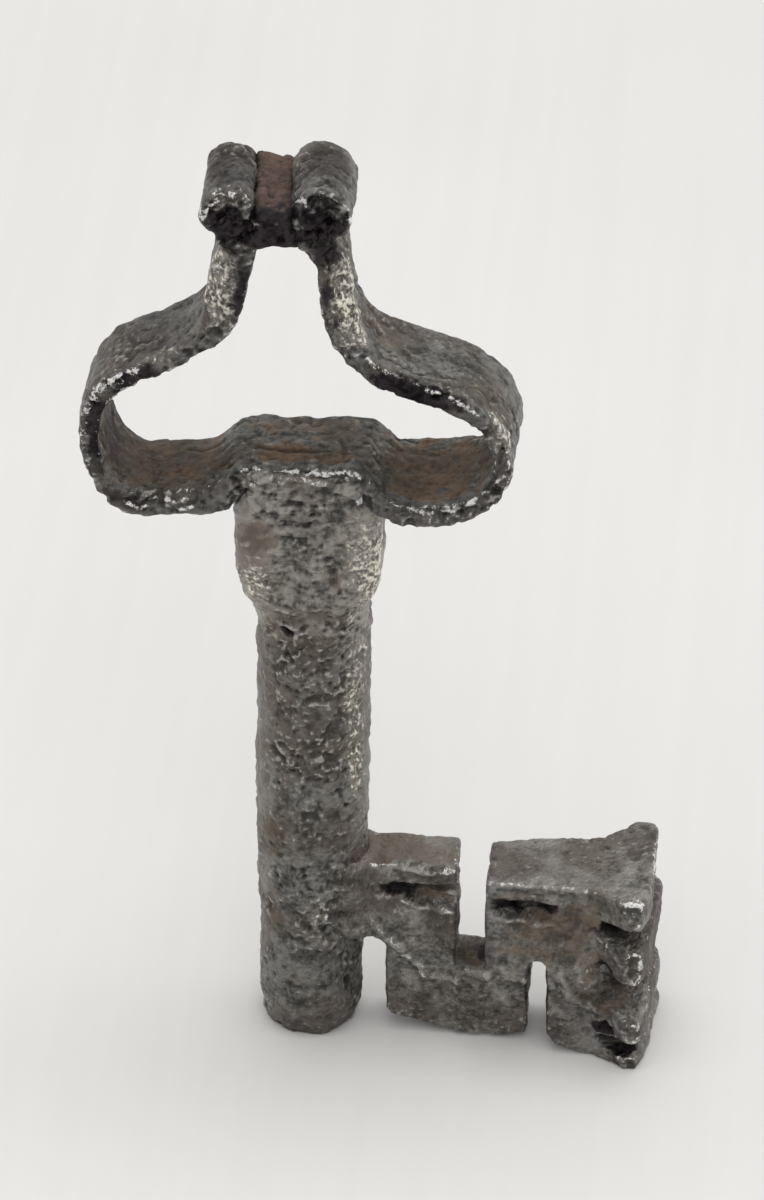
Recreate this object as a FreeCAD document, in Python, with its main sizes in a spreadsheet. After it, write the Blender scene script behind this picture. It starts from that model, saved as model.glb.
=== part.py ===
# Forged iron pipe key: a bow bent from one strip, a plugged neck, a bored shank and a warded bit.
# Millimetres. The origin is the middle of the shank's tip, +Z runs up the shank and +X towards the bit.
import FreeCAD, Part
import math
import os
from types import SimpleNamespace

import Sketcher
from FreeCAD import Vector

# Driving dimensions, one named value each.
SIZES = {
    # Shank
    "shank_diameter": 11.8,
    "foot_diameter": 10.8,
    "tip_diameter": 9.2,
    "tip_round": 3.6,
    "taper_length": 9.0,
    "shank_length": 52.5,
    "mouth_chamfer": 0.4,
    "bore_diameter": 6.8,
    "socket_diameter": 7.6,
    "socket_depth": 9.5,
    # Neck and its joints
    "braze_gap": 0.35,
    "neck_height": 18.8,
    "neck_base_diameter": 11.1,
    "neck_waist_diameter": 12.6,
    "bulge_width": 14.9,
    "bulge_depth": 12.4,
    "head_width": 15.3,
    "head_depth": 10.7,
    "head_shift": 0.45,
    "head_corner": 1.8,
    "tenon_width": 7.0,
    "tenon_depth": 3.2,
    "tenon_proud": 0.2,
    # Bow strip and finial
    "strip_thickness": 2.6,
    "strip_width": 10.8,
    "left_reach": 23.1,
    "right_reach": 19.9,
    "bow_rise": 33.0,
    "left_roll_radius": 3.0,
    "left_roll_offset": 8.85,
    "right_roll_radius": 3.6,
    "right_roll_offset": 0.75,
    "roll_thickness": 2.2,
    "saddle_height": 3.6,
    "saddle_depth": 10.2,
    "saddle_hollow": 0.5,
    # Bit
    "bit_height": 22.5,
    "bit_thickness": 6.0,
    "root_slot_width": 3.0,
    "root_slot_height": 12.9,
    "inner_step_length": 7.4,
    "ward_slot_width": 3.5,
    "ward_slot_depth": 13.3,
    "middle_step_length": 4.4,
    "outer_slot_width": 2.5,
    "outer_slot_height": 12.5,
    "end_step_length": 10.6,
    "middle_front": 5.2,
    "middle_back": 2.9,
    "end_front": 5.0,
    "end_back": 4.5,
    "flare_length": 5.6,
    "flare_half": 7.5,
    "leaf_tip": 1.5,
    "outer_face_half": 5.2,
    "outer_face_lean": 0.9,
    "strap_front": 3.3,
    "strap_height": 9.4,
    "cross_ward_height": 1.7,
    "cross_ward_level": 18.7,
    "cross_ward_inner": 7.2,
    "cross_ward_outer": 7.8,
    "kerf_depth": 5.2,
    "top_kerf_level": 17.55,
    "top_kerf_height": 1.5,
    "top_kerf_flare": 0.8,
    "middle_kerf_level": 9.4,
    "middle_kerf_height": 2.4,
    "middle_kerf_flare": 1.7,
    "low_kerf_level": 2.65,
    "low_kerf_height": 1.5,
    "low_kerf_flare": 0.4,
    "inner_foot_rise": 2.3,
    "middle_foot_rise": 0.6,
    "slot_foot_rise": 1.3,
    "end_foot_rise": 1.2,
    "bit_tenon_depth": 1.2,
    "bit_tenon_margin": 0.9,
    "bit_tenon_width": 3.6,
    "root_fillet_reach": 2.5,
    "root_fillet_rise": 0.8,
    "root_fillet_spread": 1.2,
    "root_fillet_edge": 0.15,
    # One overrun serves every cut that leaves the metal.
    "overrun": 1.0,
}

# The bow's middle line from the head to each roll: across as a share of that lobe's reach, up as a
# share of the bow's rise, then thickness and width as shares of the strip's, then the share of the
# thickness that its outer corners lose.
LEFT_ARM_SHARES = [
    (0.060, 0.045, 1.05, 1.00, 0.12),
    (0.190, 0.041, 1.05, 1.00, 0.12),
    (0.320, 0.036, 1.08, 1.00, 0.12),
    (0.415, -0.045, 1.42, 0.97, 0.12),
    (0.563, -0.065, 1.28, 0.93, 0.12),
    (0.740, -0.081, 1.25, 0.97, 0.12),
    (0.880, -0.053, 1.06, 0.96, 0.12),
    (0.956, 0.018, 0.88, 0.94, 0.12),
    (0.992, 0.125, 0.81, 0.94, 0.12),
    (0.988, 0.248, 0.81, 0.95, 0.12),
    (0.888, 0.358, 0.81, 0.96, 0.12),
    (0.727, 0.424, 0.80, 0.93, 0.12),
    (0.577, 0.485, 0.83, 0.93, 0.20),
    (0.474, 0.543, 1.02, 0.90, 0.34),
    (0.411, 0.624, 1.30, 0.86, 0.46),
    (0.392, 0.712, 1.50, 0.85, 0.50),
    (0.360, 0.808, 1.44, 0.86, 0.48),
    (0.322, 0.892, 1.12, 0.91, 0.30),
]
RIGHT_ARM_SHARES = [
    (0.090, 0.049, 1.05, 1.00, 0.12),
    (0.250, 0.051, 1.05, 1.02, 0.12),
    (0.372, -0.020, 1.04, 1.09, 0.12),
    (0.528, -0.041, 1.12, 1.22, 0.12),
    (0.719, -0.030, 1.08, 1.24, 0.12),
    (0.886, 0.014, 0.96, 1.20, 0.12),
    (0.988, 0.089, 0.78, 1.14, 0.12),
    (1.000, 0.176, 0.72, 1.10, 0.12),
    (0.943, 0.270, 0.78, 1.06, 0.12),
    (0.812, 0.346, 0.85, 1.03, 0.12),
    (0.630, 0.388, 0.92, 1.03, 0.12),
    (0.436, 0.427, 0.92, 1.00, 0.18),
    (0.272, 0.484, 0.96, 0.93, 0.30),
    (0.162, 0.568, 1.12, 0.87, 0.42),
    (0.117, 0.666, 1.28, 0.85, 0.50),
    (0.095, 0.765, 1.24, 0.85, 0.50),
    (0.054, 0.850, 1.15, 0.88, 0.40),
    (-0.030, 0.918, 1.00, 0.94, 0.22),
]
# The bow is twisted: its depth leans sideways by this share between the foot and the rolls, and
# stands straight at this share of the rise.
BOW_TWIST_SHARE = 0.10
TWIST_LEVEL_SHARE = 0.35
# How far round its roll each end of the strip winds, and how it tapers and tightens there.
ROLL_TURN_SHARE = 0.74
ROLL_WIDTH_SHARE = 0.97
ROLL_TAIL_SHARE = 0.62
ROLL_TIGHTEN_SHARE = 0.36
ROLL_CORNER_SHARE = 0.14
ROLL_START_SHARE = 0.04
# Share of the strip's width over which its outer corners are worked back.
CORNER_RUN_SHARE = 0.36
# Height, width, depth and corner radius of the neck's sections: height as a share of the neck's,
# and the others as shares of the way from its round foot to its square head.
NECK_BULGE_SHARES = [
    (0.29, 0.72, 0.90, 0.25),
    (0.43, 1.00, 1.00, 0.45),
    (0.63, 1.00, 0.55, 0.75),
]
NECK_WAIST_SHARE = 0.17
NECK_SHOULDER_SHARE = 0.87
NECK_TOP_SHARE = 1.04
NECK_TOP_WIDTH_SHARE = 0.78
NECK_ROUND_SHARE = 0.49
# Share of its height by which the block between the rolls stands above their middle.
SADDLE_TOP_SHARE = 0.39

STATIONS_PER_SPAN = 2
ROLL_STATIONS = 9
UP = Vector(0, 0, 1)


class Length:
    """A length in millimetres that carries the sheet formula it comes from."""

    def __init__(self, value, formula):
        self.value = value
        self.formula = formula

    def joined(self, other, sign, value):
        return Length(value, "(%s %s %s)" % (self.formula, sign, other.formula))

    def __add__(self, other):
        return self.joined(other, "+", self.value + other.value)

    def __sub__(self, other):
        return self.joined(other, "-", self.value - other.value)

    def __mul__(self, share):
        return Length(self.value * share, "(%s * %.6f)" % (self.formula, share))

    def __neg__(self):
        return self * -1

    def half(self):
        return self * 0.5

    def arc_radius(self, rise):
        """Radius of an arc that leaves a wall along it and moves this far aside within that rise."""
        value = (self.value ** 2 + rise.value ** 2) / (2 * self.value)
        parts = (self.formula, rise.formula, self.formula)
        return Length(value, "((%s ^ 2 + %s ^ 2) / (2 * %s))" % parts)


ZERO = Length(0.0, "0")


def fill_sheet(doc):
    """Write the driving dimensions to the sheet and give them back as lengths bound to it."""
    sheet = doc.addObject("Spreadsheet::Sheet", "Sizes")
    lengths = {}
    for row, (alias, value) in enumerate(SIZES.items(), start=1):
        sheet.set("A%d" % row, alias.replace("_", " "))
        sheet.set("B%d" % row, str(value))
        sheet.setAlias("B%d" % row, alias)
        lengths[alias] = Length(value, "Sizes.%s" % alias)
    doc.recompute()
    return SimpleNamespace(**lengths)


def new_body(doc, label):
    body = doc.addObject("PartDesign::Body", label)
    body.Label = label
    return body


def new_sketch(body, role, name, lift=ZERO):
    """A sketch on one of the body's own origin planes, lifted along that plane's normal."""
    sketch = body.newObject("Sketcher::SketchObject", name)
    planes = [item for item in body.Origin.OriginFeatures if item.Role == role]
    sketch.AttachmentSupport = [(planes[0], "")]
    sketch.MapMode = "FlatFace"
    sketch.AttachmentOffset.Base = Vector(0, 0, lift.value)
    if lift is not ZERO:
        sketch.setExpression("AttachmentOffset.Base.z", lift.formula)
    return sketch


def bind(sketch, kind, name, length, *where):
    """Add one dimension to a sketch and tie it to the sheet."""
    index = sketch.addConstraint(Sketcher.Constraint(kind, *where, length.value))
    sketch.renameConstraint(index, name)
    sketch.setExpression("Constraints.%s" % name, length.formula)


def arc_between(start, end, radius, hollow):
    """An arc of the given radius from start to end; hollow arcs turn clockwise."""
    chord = end - start
    aside = Vector(-chord.y, chord.x, 0).normalize()
    depth = math.sqrt(max(radius ** 2 - (chord.Length / 2) ** 2, 0.0))
    centre = (start + end) * 0.5 + aside * (-depth if hollow else depth)
    first, last = (end, start) if hollow else (start, end)
    angles = [math.atan2(point.y - centre.y, point.x - centre.x) for point in (first, last)]
    if angles[1] < angles[0]:
        angles[1] += 2 * math.pi
    return Part.ArcOfCircle(Part.Circle(centre, UP, radius), angles[0], angles[1])


def draw_outline(sketch, corners, arcs=None):
    """Close an outline through the corners; arcs maps a corner's index to (radius, hollow) of its side.

    A half-round side is held by the height of its centre instead, given after the other two."""
    arcs = arcs or {}
    points = [Vector(x.value, y.value, 0) for x, y in corners]
    ends = []
    for index, start in enumerate(points):
        end = points[(index + 1) % len(points)]
        if index in arcs:
            radius, hollow = arcs[index][:2]
            edge = sketch.addGeometry(arc_between(start, end, radius.value, hollow), False)
            ends.append((edge, 2, 1) if hollow else (edge, 1, 2))
        else:
            edge = sketch.addGeometry(Part.LineSegment(start, end), False)
            ends.append((edge, 1, 2))
    for index, (edge, first, last) in enumerate(ends):
        following, follow_first, _ = ends[(index + 1) % len(ends)]
        sketch.addConstraint(Sketcher.Constraint("Coincident", edge, last, following, follow_first))
    for index, (x, y) in enumerate(corners):
        edge, first, _ = ends[index]
        bind(sketch, "DistanceX", "across_%d" % index, x, -1, 1, edge, first)
        bind(sketch, "DistanceY", "along_%d" % index, y, -1, 1, edge, first)
    for index, arc in arcs.items():
        if len(arc) > 2:
            bind(sketch, "DistanceY", "centre_%d" % index, arc[2], -1, 1, ends[index][0], 3)
        else:
            bind(sketch, "Radius", "radius_%d" % index, arc[0], ends[index][0])


def draw_circle(sketch, diameter):
    edge = sketch.addGeometry(Part.Circle(Vector(0, 0, 0), UP, diameter.value / 2), False)
    sketch.addConstraint(Sketcher.Constraint("Coincident", edge, 3, -1, 1))
    bind(sketch, "Diameter", "diameter", diameter, edge)


def draw_box(sketch, low, high):
    """A rectangle between two opposite corners."""
    draw_outline(sketch, [low, (high[0], low[1]), high, (low[0], high[1])])


def draw_rounded(sketch, width, depth, corner, shift=ZERO):
    """A rectangle about the axis with rounded corners, moved along X by shift."""
    left, right = shift - width.half(), shift + width.half()
    front, back = -depth.half(), depth.half()
    corners = [
        (left + corner, front), (right - corner, front), (right, front + corner), (right, back - corner),
        (right - corner, back), (left + corner, back), (left, back - corner), (left, front + corner),
    ]
    draw_outline(sketch, corners, {index: (corner, False) for index in (1, 3, 5, 7)})


def extrude(body, kind, sketch, length=None, midplane=False, backwards=False):
    """Pad or pocket a sketch by a length, or a pocket right through when it has none."""
    feature = body.newObject("PartDesign::%s" % kind, "%s_%s" % (sketch.Name, kind.lower()))
    feature.Profile = sketch
    feature.Midplane = midplane
    feature.Reversed = backwards
    if length is None:
        feature.Type = 1
    else:
        feature.Length = length.value
        feature.setExpression("Length", length.formula)
    sketch.Visibility = False
    body.Tip = feature
    return feature


def boolean(doc, kind, label, *shapes):
    """Cut the second object from the first, or join all of them."""
    if kind == "Cut":
        result = doc.addObject("Part::Cut", label)
        result.Base, result.Tool = shapes
    else:
        result = doc.addObject("Part::MultiFuse", label)
        result.Shapes = list(shapes)
    result.Label = label
    return result


def heights(key):
    """Levels on the shank's axis that the pieces share."""
    neck_foot = key.shank_length + key.braze_gap
    return SimpleNamespace(
        socket_floor=key.shank_length - key.socket_depth,
        neck_foot=neck_foot,
        seat=neck_foot + key.neck_height,
    )


def bit_places(key):
    """Places along the bit, measured outwards from the shank's foot."""
    foot = key.foot_diameter.half()
    root_slot = foot + key.root_slot_width
    inner_end = root_slot + key.inner_step_length
    middle = inner_end + key.ward_slot_width
    middle_end = middle + key.middle_step_length
    end_step = middle_end + key.outer_slot_width
    outer_face = end_step + key.end_step_length
    return SimpleNamespace(
        foot=foot,
        tenon=foot - key.bit_tenon_depth,
        root_slot=root_slot,
        inner_end=inner_end,
        middle=middle,
        middle_end=middle_end,
        end_step=end_step,
        flare=outer_face - key.flare_length,
        tip=outer_face - key.leaf_tip,
        outer_face=outer_face,
    )


def make_shank(doc, key, levels, places):
    """Turned pipe: round tip, foot, taper, barrel, socket for the neck's plug, slot for the bit's tenon."""
    body = new_body(doc, "shank_pipe")
    profile = new_sketch(body, "XZ_Plane", "shank_profile")
    bore, socket = key.bore_diameter.half(), key.socket_diameter.half()
    tip, foot, barrel = key.tip_diameter.half(), key.foot_diameter.half(), key.shank_diameter.half()
    corners = [
        (bore, ZERO),
        (tip, ZERO),
        (foot, key.tip_round),
        (foot, key.bit_height - key.taper_length),
        (barrel, key.bit_height),
        (barrel, key.shank_length - key.mouth_chamfer),
        (barrel - key.mouth_chamfer, key.shank_length),
        (socket, key.shank_length),
        (socket, levels.socket_floor),
        (bore, levels.socket_floor),
    ]
    draw_outline(profile, corners, {1: ((foot - tip).arc_radius(key.tip_round), False)})
    turned = body.newObject("PartDesign::Revolution", "shank_turned")
    turned.Profile = profile
    turned.ReferenceAxis = (profile, ["V_Axis"])
    profile.Visibility = False
    body.Tip = turned
    slot_foot = key.root_slot_height + key.bit_tenon_margin
    slot = new_sketch(body, "XY_Plane", "tenon_slot", slot_foot)
    half = key.bit_tenon_width.half()
    draw_box(slot, (places.tenon, -half), (places.root_slot, half))
    slot_height = key.bit_height - key.bit_tenon_margin - slot_foot
    extrude(body, "Pocket", slot, slot_height, backwards=True)
    return body


def neck_sections(key):
    """Lift, width, depth, corner radius and sideways shift of each section of the neck."""
    def between(low, high, share):
        return low + (high - low) * share

    round_corner = key.neck_base_diameter * NECK_ROUND_SHARE
    waist = key.neck_waist_diameter
    sections = [
        (ZERO, key.neck_base_diameter, key.neck_base_diameter, round_corner, ZERO),
        (key.neck_height * NECK_WAIST_SHARE, waist, key.neck_base_diameter, round_corner, -key.head_shift),
    ]
    for lift, width, depth, square in NECK_BULGE_SHARES:
        sections.append((
            key.neck_height * lift,
            between(waist, key.bulge_width, width),
            between(key.head_depth, key.bulge_depth, depth),
            between(round_corner, key.head_corner, square),
            -key.head_shift,
        ))
    shoulder = key.neck_height * NECK_SHOULDER_SHARE
    sections.append((shoulder, key.head_width, key.head_depth, key.head_corner, -key.head_shift))
    top_width = key.head_width * NECK_TOP_WIDTH_SHARE
    sections.append((key.neck_height * NECK_TOP_SHARE, top_width, key.head_depth, key.head_corner, -key.head_shift))
    return sections


def make_neck_forging(doc, key, levels):
    """Neck from its round foot to its square head, with the plug that fills the pipe's socket."""
    body = new_body(doc, "neck_forging")
    sketches = []
    for index, (lift, width, depth, corner, shift) in enumerate(neck_sections(key)):
        sketch = new_sketch(body, "XY_Plane", "neck_section_%d" % index, levels.neck_foot + lift)
        draw_rounded(sketch, width, depth, corner, shift)
        sketch.Visibility = False
        sketches.append(sketch)
    loft = body.newObject("PartDesign::AdditiveLoft", "neck_loft")
    loft.Profile = sketches[0]
    loft.Sections = sketches[1:]
    loft.Ruled = True
    body.Tip = loft
    plug = new_sketch(body, "XY_Plane", "plug_outline", levels.socket_floor)
    draw_circle(plug, key.socket_diameter)
    extrude(body, "Pad", plug, key.socket_depth + key.braze_gap + key.neck_height * NECK_WAIST_SHARE)
    return body


def make_tenon(doc, key, levels):
    """Flat tenon that stands on the head, passes through the strip and is peened over it."""
    body = new_body(doc, "neck_tenon")
    foot = levels.seat - key.neck_height * NECK_WAIST_SHARE
    outline = new_sketch(body, "XY_Plane", "tenon_outline", foot)
    left, right = -key.head_shift - key.tenon_width.half(), key.tenon_width.half() - key.head_shift
    draw_box(outline, (left, -key.tenon_depth.half()), (right, key.tenon_depth.half()))
    hump_share = LEFT_ARM_SHARES[0]
    hump = key.bow_rise * hump_share[1] + key.strip_thickness * (hump_share[2] / 2)
    extrude(body, "Pad", outline, levels.seat + hump + key.tenon_proud - foot)
    return body


def bar_section(centre, outward, lean, thickness, width, corner_share):
    """One cross-section of the strip: its inner face is full width, its outer corners are worked back.

    Lean is how far its depth runs sideways, as a share of that depth."""
    half, side = thickness / 2, width / 2
    corner = thickness * corner_share
    run = width * CORNER_RUN_SHARE * corner_share
    inner = thickness * ROLL_CORNER_SHARE / 2
    outline = [
        (-half, -side + inner), (-half + inner, -side), (half - corner, -side), (half, -side + run),
        (half, side - run), (half - corner, side), (-half + inner, side), (-half, side - inner),
    ]
    points = [centre + outward * across + Vector(-lean * along, along, 0) for across, along in outline]
    return Part.makePolygon(points + points[:1])


def roll_stations(centre_x, centre_z, radius, key, side):
    """Stations round one roll, from where the arm enters it to the strip's tail; side is -1 left, 1 right."""
    thickness = key.roll_thickness.value
    width = key.strip_width.value * ROLL_WIDTH_SHARE
    line_radius = radius - thickness / 2
    stations = []
    for step in range(ROLL_STATIONS + 1):
        along = step / ROLL_STATIONS
        angle = 2 * math.pi * (ROLL_TURN_SHARE * along - ROLL_START_SHARE)
        reach = line_radius * (1 - ROLL_TIGHTEN_SHARE * along ** 3)
        x = centre_x - side * reach * math.cos(angle)
        z = centre_z + reach * math.sin(angle)
        taper = 1 - (1 - ROLL_TAIL_SHARE) * along ** 2
        stations.append((x, z, thickness * taper, width, ROLL_CORNER_SHARE))
    return stations


def arm_points(shares, reach, key, levels, side):
    """An arm's middle line as places, thickness, width and corner share, in millimetres."""
    rows = []
    for across, up, thick, wide, corner in shares:
        x = side * across * reach.value
        z = levels.seat.value + up * key.bow_rise.value
        rows.append((x, z, thick * key.strip_thickness.value, wide * key.strip_width.value, corner))
    return rows


def strip_rows(key, levels):
    """The whole middle line, from the left roll's tail down, through the hump and up to the right tail."""
    roll_height = levels.seat.value + key.bow_rise.value
    left_roll = roll_stations(-key.left_roll_offset.value, roll_height, key.left_roll_radius.value, key, -1)
    right_roll = roll_stations(key.right_roll_offset.value, roll_height, key.right_roll_radius.value, key, 1)
    left = arm_points(LEFT_ARM_SHARES, key.left_reach, key, levels, -1) + left_roll
    right = arm_points(RIGHT_ARM_SHARES, key.right_reach, key, levels, 1) + right_roll
    return left[::-1] + right


def make_bar(doc, key, levels):
    """The bow's strip: one bar lofted along its middle line, both ends wound outwards into rolls."""
    rows = strip_rows(key, levels)
    curve = Part.BSplineCurve()
    marks = [float(index) for index in range(len(rows))]
    curve.interpolate(Points=[Vector(row[0], 0, row[1]) for row in rows], Parameters=marks)
    sections = []
    steps = (len(rows) - 1) * STATIONS_PER_SPAN
    for step in range(steps + 1):
        mark = step / STATIONS_PER_SPAN
        low = min(int(mark), len(rows) - 2)
        blend = mark - low
        thickness, width, corner = [
            rows[low][column] * (1 - blend) + rows[low + 1][column] * blend for column in (2, 3, 4)
        ]
        tangent = curve.tangent(mark)[0]
        outward = Vector(tangent.z, 0, -tangent.x)
        centre = curve.value(mark)
        lean = BOW_TWIST_SHARE * ((centre.z - levels.seat.value) / key.bow_rise.value - TWIST_LEVEL_SHARE)
        sections.append(bar_section(centre, outward, lean, thickness, width, corner))
    bar = doc.addObject("Part::Feature", "bow_bar")
    bar.Label = "bow_bar"
    bar.Shape = Part.makeLoft(sections, True, True, False)
    return bar


def make_saddle_block(doc, key, levels):
    """Block between the two rolls with an arched underside and a hollow top."""
    body = new_body(doc, "saddle_block")
    outline = new_sketch(body, "XZ_Plane", "saddle_outline")
    inner_left = key.left_roll_radius - key.left_roll_offset
    inner_right = key.right_roll_offset - key.right_roll_radius
    lap = key.roll_thickness.half()
    left, right = inner_left - lap, inner_right + lap
    middle = levels.seat + key.bow_rise
    low, high = middle - key.saddle_height, middle + key.saddle_height * SADDLE_TOP_SHARE
    span = (right - left).half()
    corners = [(left, low), (right, low), (right, high), (left, high)]
    arch = key.saddle_hollow.arc_radius(span)
    draw_outline(outline, corners, {0: (arch, True), 2: (arch, True)})
    extrude(body, "Pad", outline, key.saddle_depth, midplane=True)
    return body


def draw_plan(sketch, key, places):
    """The bit from above: inner step, thicker middle, and an outer end flared front and back."""
    inner = key.bit_thickness.half()
    lip = key.leaf_tip.half()
    corners = [
        (places.tenon, -inner),
        (places.inner_end, -inner),
        (places.middle, -key.middle_front),
        (places.flare, -key.end_front),
        (places.tip - lip, -key.flare_half),
        (places.tip + lip, -key.flare_half),
        (places.outer_face, -key.outer_face_half),
        (places.outer_face + key.outer_face_lean, key.outer_face_half),
        (places.tip + lip + key.outer_face_lean.half(), key.flare_half),
        (places.tip - lip, key.flare_half),
        (places.flare, key.end_back),
        (places.middle, key.middle_back),
        (places.inner_end, inner),
        (places.tenon, inner),
    ]
    draw_outline(sketch, corners)


def cut_front(body, name, corners, arcs=None):
    """Cut an outline, seen from the front, right through the bit."""
    sketch = new_sketch(body, "XZ_Plane", name)
    draw_outline(sketch, corners, arcs)
    extrude(body, "Pocket", sketch, midplane=True)


def cut_front_box(body, name, left, right, low, high):
    cut_front(body, name, [(left, low), (right, low), (right, high), (left, high)])


def cut_arched_slot(body, name, left, right, top, key):
    """A slot open at the foot with a half-round top."""
    radius = (right - left).half()
    spring = top - radius
    corners = [(left, -key.overrun), (right, -key.overrun), (right, spring), (left, spring)]
    cut_front(body, name, corners, {2: (radius, False, spring)})


def cut_kerf(body, name, places, key, level, height, flare):
    """A kerf into the outer end, seen from that end: narrowest at the middle, flaring to the leaf tips."""
    sketch = new_sketch(body, "YZ_Plane", name, places.outer_face - key.kerf_depth)
    side = key.flare_half + key.overrun
    low, high = level - height.half(), level + height.half()
    corners = [
        (-side, low - flare), (ZERO, low), (side, low - flare),
        (side, high + flare), (ZERO, high), (-side, high + flare),
    ]
    draw_outline(sketch, corners)
    extrude(body, "Pocket", sketch, key.kerf_depth + key.outer_face_lean + key.overrun, backwards=True)


def make_bit_forging(doc, key, places):
    """The bit's blade with its slots, cross ward, leaves and uneven foot."""
    body = new_body(doc, "bit_forging")
    plan = new_sketch(body, "XY_Plane", "bit_plan")
    draw_plan(plan, key, places)
    extrude(body, "Pad", plan, key.bit_height)
    over = key.overrun
    cut_front_box(body, "root_relief", places.tenon - over, places.foot, -over, key.root_slot_height)
    cut_arched_slot(body, "root_slot", places.foot, places.root_slot, key.root_slot_height, key)
    cut_arched_slot(body, "outer_slot", places.middle_end, places.end_step, key.outer_slot_height, key)
    ward_floor = key.bit_height - key.ward_slot_depth
    cut_front_box(body, "ward_slot", places.inner_end, places.middle, ward_floor, key.bit_height + over)
    cross_left, cross_right = places.inner_end - key.cross_ward_inner, places.middle + key.cross_ward_outer
    cross_top = key.cross_ward_level + key.cross_ward_height
    cut_front_box(body, "cross_ward", cross_left, cross_right, key.cross_ward_level, cross_top)
    kerfs = {
        "top_kerf": (key.top_kerf_level, key.top_kerf_height, key.top_kerf_flare),
        "middle_kerf": (key.middle_kerf_level, key.middle_kerf_height, key.middle_kerf_flare),
        "low_kerf": (key.low_kerf_level, key.low_kerf_height, key.low_kerf_flare),
    }
    for name, kerf in kerfs.items():
        cut_kerf(body, name, places, key, *kerf)
    leaned = places.outer_face + key.outer_face_lean + over
    cut_front_box(body, "top_leaf_end", places.outer_face, leaned, key.top_kerf_level, key.bit_height + over)
    strap = new_sketch(body, "XY_Plane", "strap_front", -over)
    draw_box(strap, (places.inner_end, -key.middle_front - over), (places.middle_end + over, -key.strap_front))
    extrude(body, "Pocket", strap, key.strap_height + over, backwards=True)
    steps_foot = [
        (places.foot, -over),
        (places.middle_end + over, -over),
        (places.middle_end + over, key.slot_foot_rise),
        (places.middle_end - key.middle_step_length.half(), key.middle_foot_rise),
        (places.inner_end, key.middle_foot_rise),
        (places.root_slot + over, key.inner_foot_rise),
        (places.foot, key.inner_foot_rise + key.root_slot_width),
    ]
    cut_front(body, "steps_foot", steps_foot)
    end_foot = [
        (places.end_step - over, -over),
        (places.flare, -over),
        (places.flare, ZERO),
        (places.end_step + over, key.end_foot_rise),
        (places.end_step - over, key.end_foot_rise + key.outer_slot_width),
    ]
    cut_front(body, "end_foot", end_foot)
    return body


def make_root_fillet(doc, key, places):
    """Block that flares from the bit's root to the shank, from which both are cut away."""
    body = new_body(doc, "root_fillet_block")
    half, edge = key.bit_thickness.half(), key.root_fillet_edge
    spread = half + key.root_fillet_spread
    top = key.bit_height
    low = key.root_slot_height
    near = new_sketch(body, "YZ_Plane", "fillet_at_shank", places.tenon)
    draw_box(near, (-spread, low), (spread, top + key.root_fillet_rise))
    far = new_sketch(body, "YZ_Plane", "fillet_at_step", places.foot + key.root_fillet_reach)
    draw_box(far, (-half - edge, low), (half + edge, top + edge))
    loft = body.newObject("PartDesign::AdditiveLoft", "fillet_loft")
    loft.Profile = near
    loft.Sections = [far]
    loft.Ruled = True
    near.Visibility = far.Visibility = False
    body.Tip = loft
    return body


def make_neck_braze(doc, key, levels):
    """Ring of braze between the pipe's mouth and the neck."""
    body = new_body(doc, "neck_braze")
    ring = new_sketch(body, "XY_Plane", "braze_ring", key.shank_length)
    draw_circle(ring, key.neck_base_diameter)
    extrude(body, "Pad", ring, key.braze_gap)
    hole = new_sketch(body, "XY_Plane", "braze_hole", levels.neck_foot)
    draw_circle(hole, key.socket_diameter)
    extrude(body, "Pocket", hole, key.braze_gap)
    return body


def build(doc):
    """Build every piece and give back the objects that are written out, by name."""
    key = fill_sheet(doc)
    levels = heights(key)
    places = bit_places(key)
    shank = make_shank(doc, key, levels, places)
    bar = make_bar(doc, key, levels)
    tenon = make_tenon(doc, key, levels)
    neck_seated = boolean(doc, "Cut", "neck_seated", make_neck_forging(doc, key, levels), bar)
    bit = boolean(doc, "Cut", "bit_blade", make_bit_forging(doc, key, places), shank)
    fillet = boolean(doc, "Cut", "root_fillet_on_shank", make_root_fillet(doc, key, places), shank)
    return [
        shank,
        make_neck_braze(doc, key, levels),
        boolean(doc, "Fuse", "neck_bolster", neck_seated, tenon),
        boolean(doc, "Cut", "bow_strip", bar, tenon),
        boolean(doc, "Cut", "finial_saddle", make_saddle_block(doc, key, levels), bar),
        bit,
        boolean(doc, "Cut", "bit_root_braze", fillet, bit),
    ]


def check(doc, pieces):
    """Stop with a plain message if a feature failed or a piece is not one sound solid."""
    for item in doc.Objects:
        if "Invalid" in item.State or "Error" in item.State:
            raise RuntimeError("%s failed: %s" % (item.Label, item.State))
    for piece in pieces:
        shape = piece.Shape
        if shape.isNull() or not shape.isValid():
            raise RuntimeError("%s has no valid shape" % piece.Label)
        if len(shape.Solids) != 1:
            raise RuntimeError("%s has %d solids" % (piece.Label, len(shape.Solids)))


def main():
    doc = FreeCAD.newDocument("pipe_key")
    pieces = build(doc)
    doc.recompute()
    check(doc, pieces)
    os.makedirs("parts", exist_ok=True)
    for piece in pieces:
        piece.Shape.exportStep(os.path.join("parts", piece.Label + ".step"))
        box = piece.Shape.BoundBox
        print("%-16s %9.2f mm3  %s" % (piece.Label, piece.Shape.Volume, box))


main()
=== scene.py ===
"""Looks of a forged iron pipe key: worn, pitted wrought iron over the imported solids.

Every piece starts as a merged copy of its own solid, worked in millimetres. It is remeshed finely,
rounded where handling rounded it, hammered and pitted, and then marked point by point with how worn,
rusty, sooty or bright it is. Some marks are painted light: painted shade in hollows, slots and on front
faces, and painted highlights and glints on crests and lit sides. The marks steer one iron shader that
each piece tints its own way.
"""

import logging
import math
from dataclasses import dataclass, field, replace
from enum import Enum, IntEnum

import bmesh
import bpy
import numpy as np
from mathutils import Matrix, Vector, noise


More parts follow.
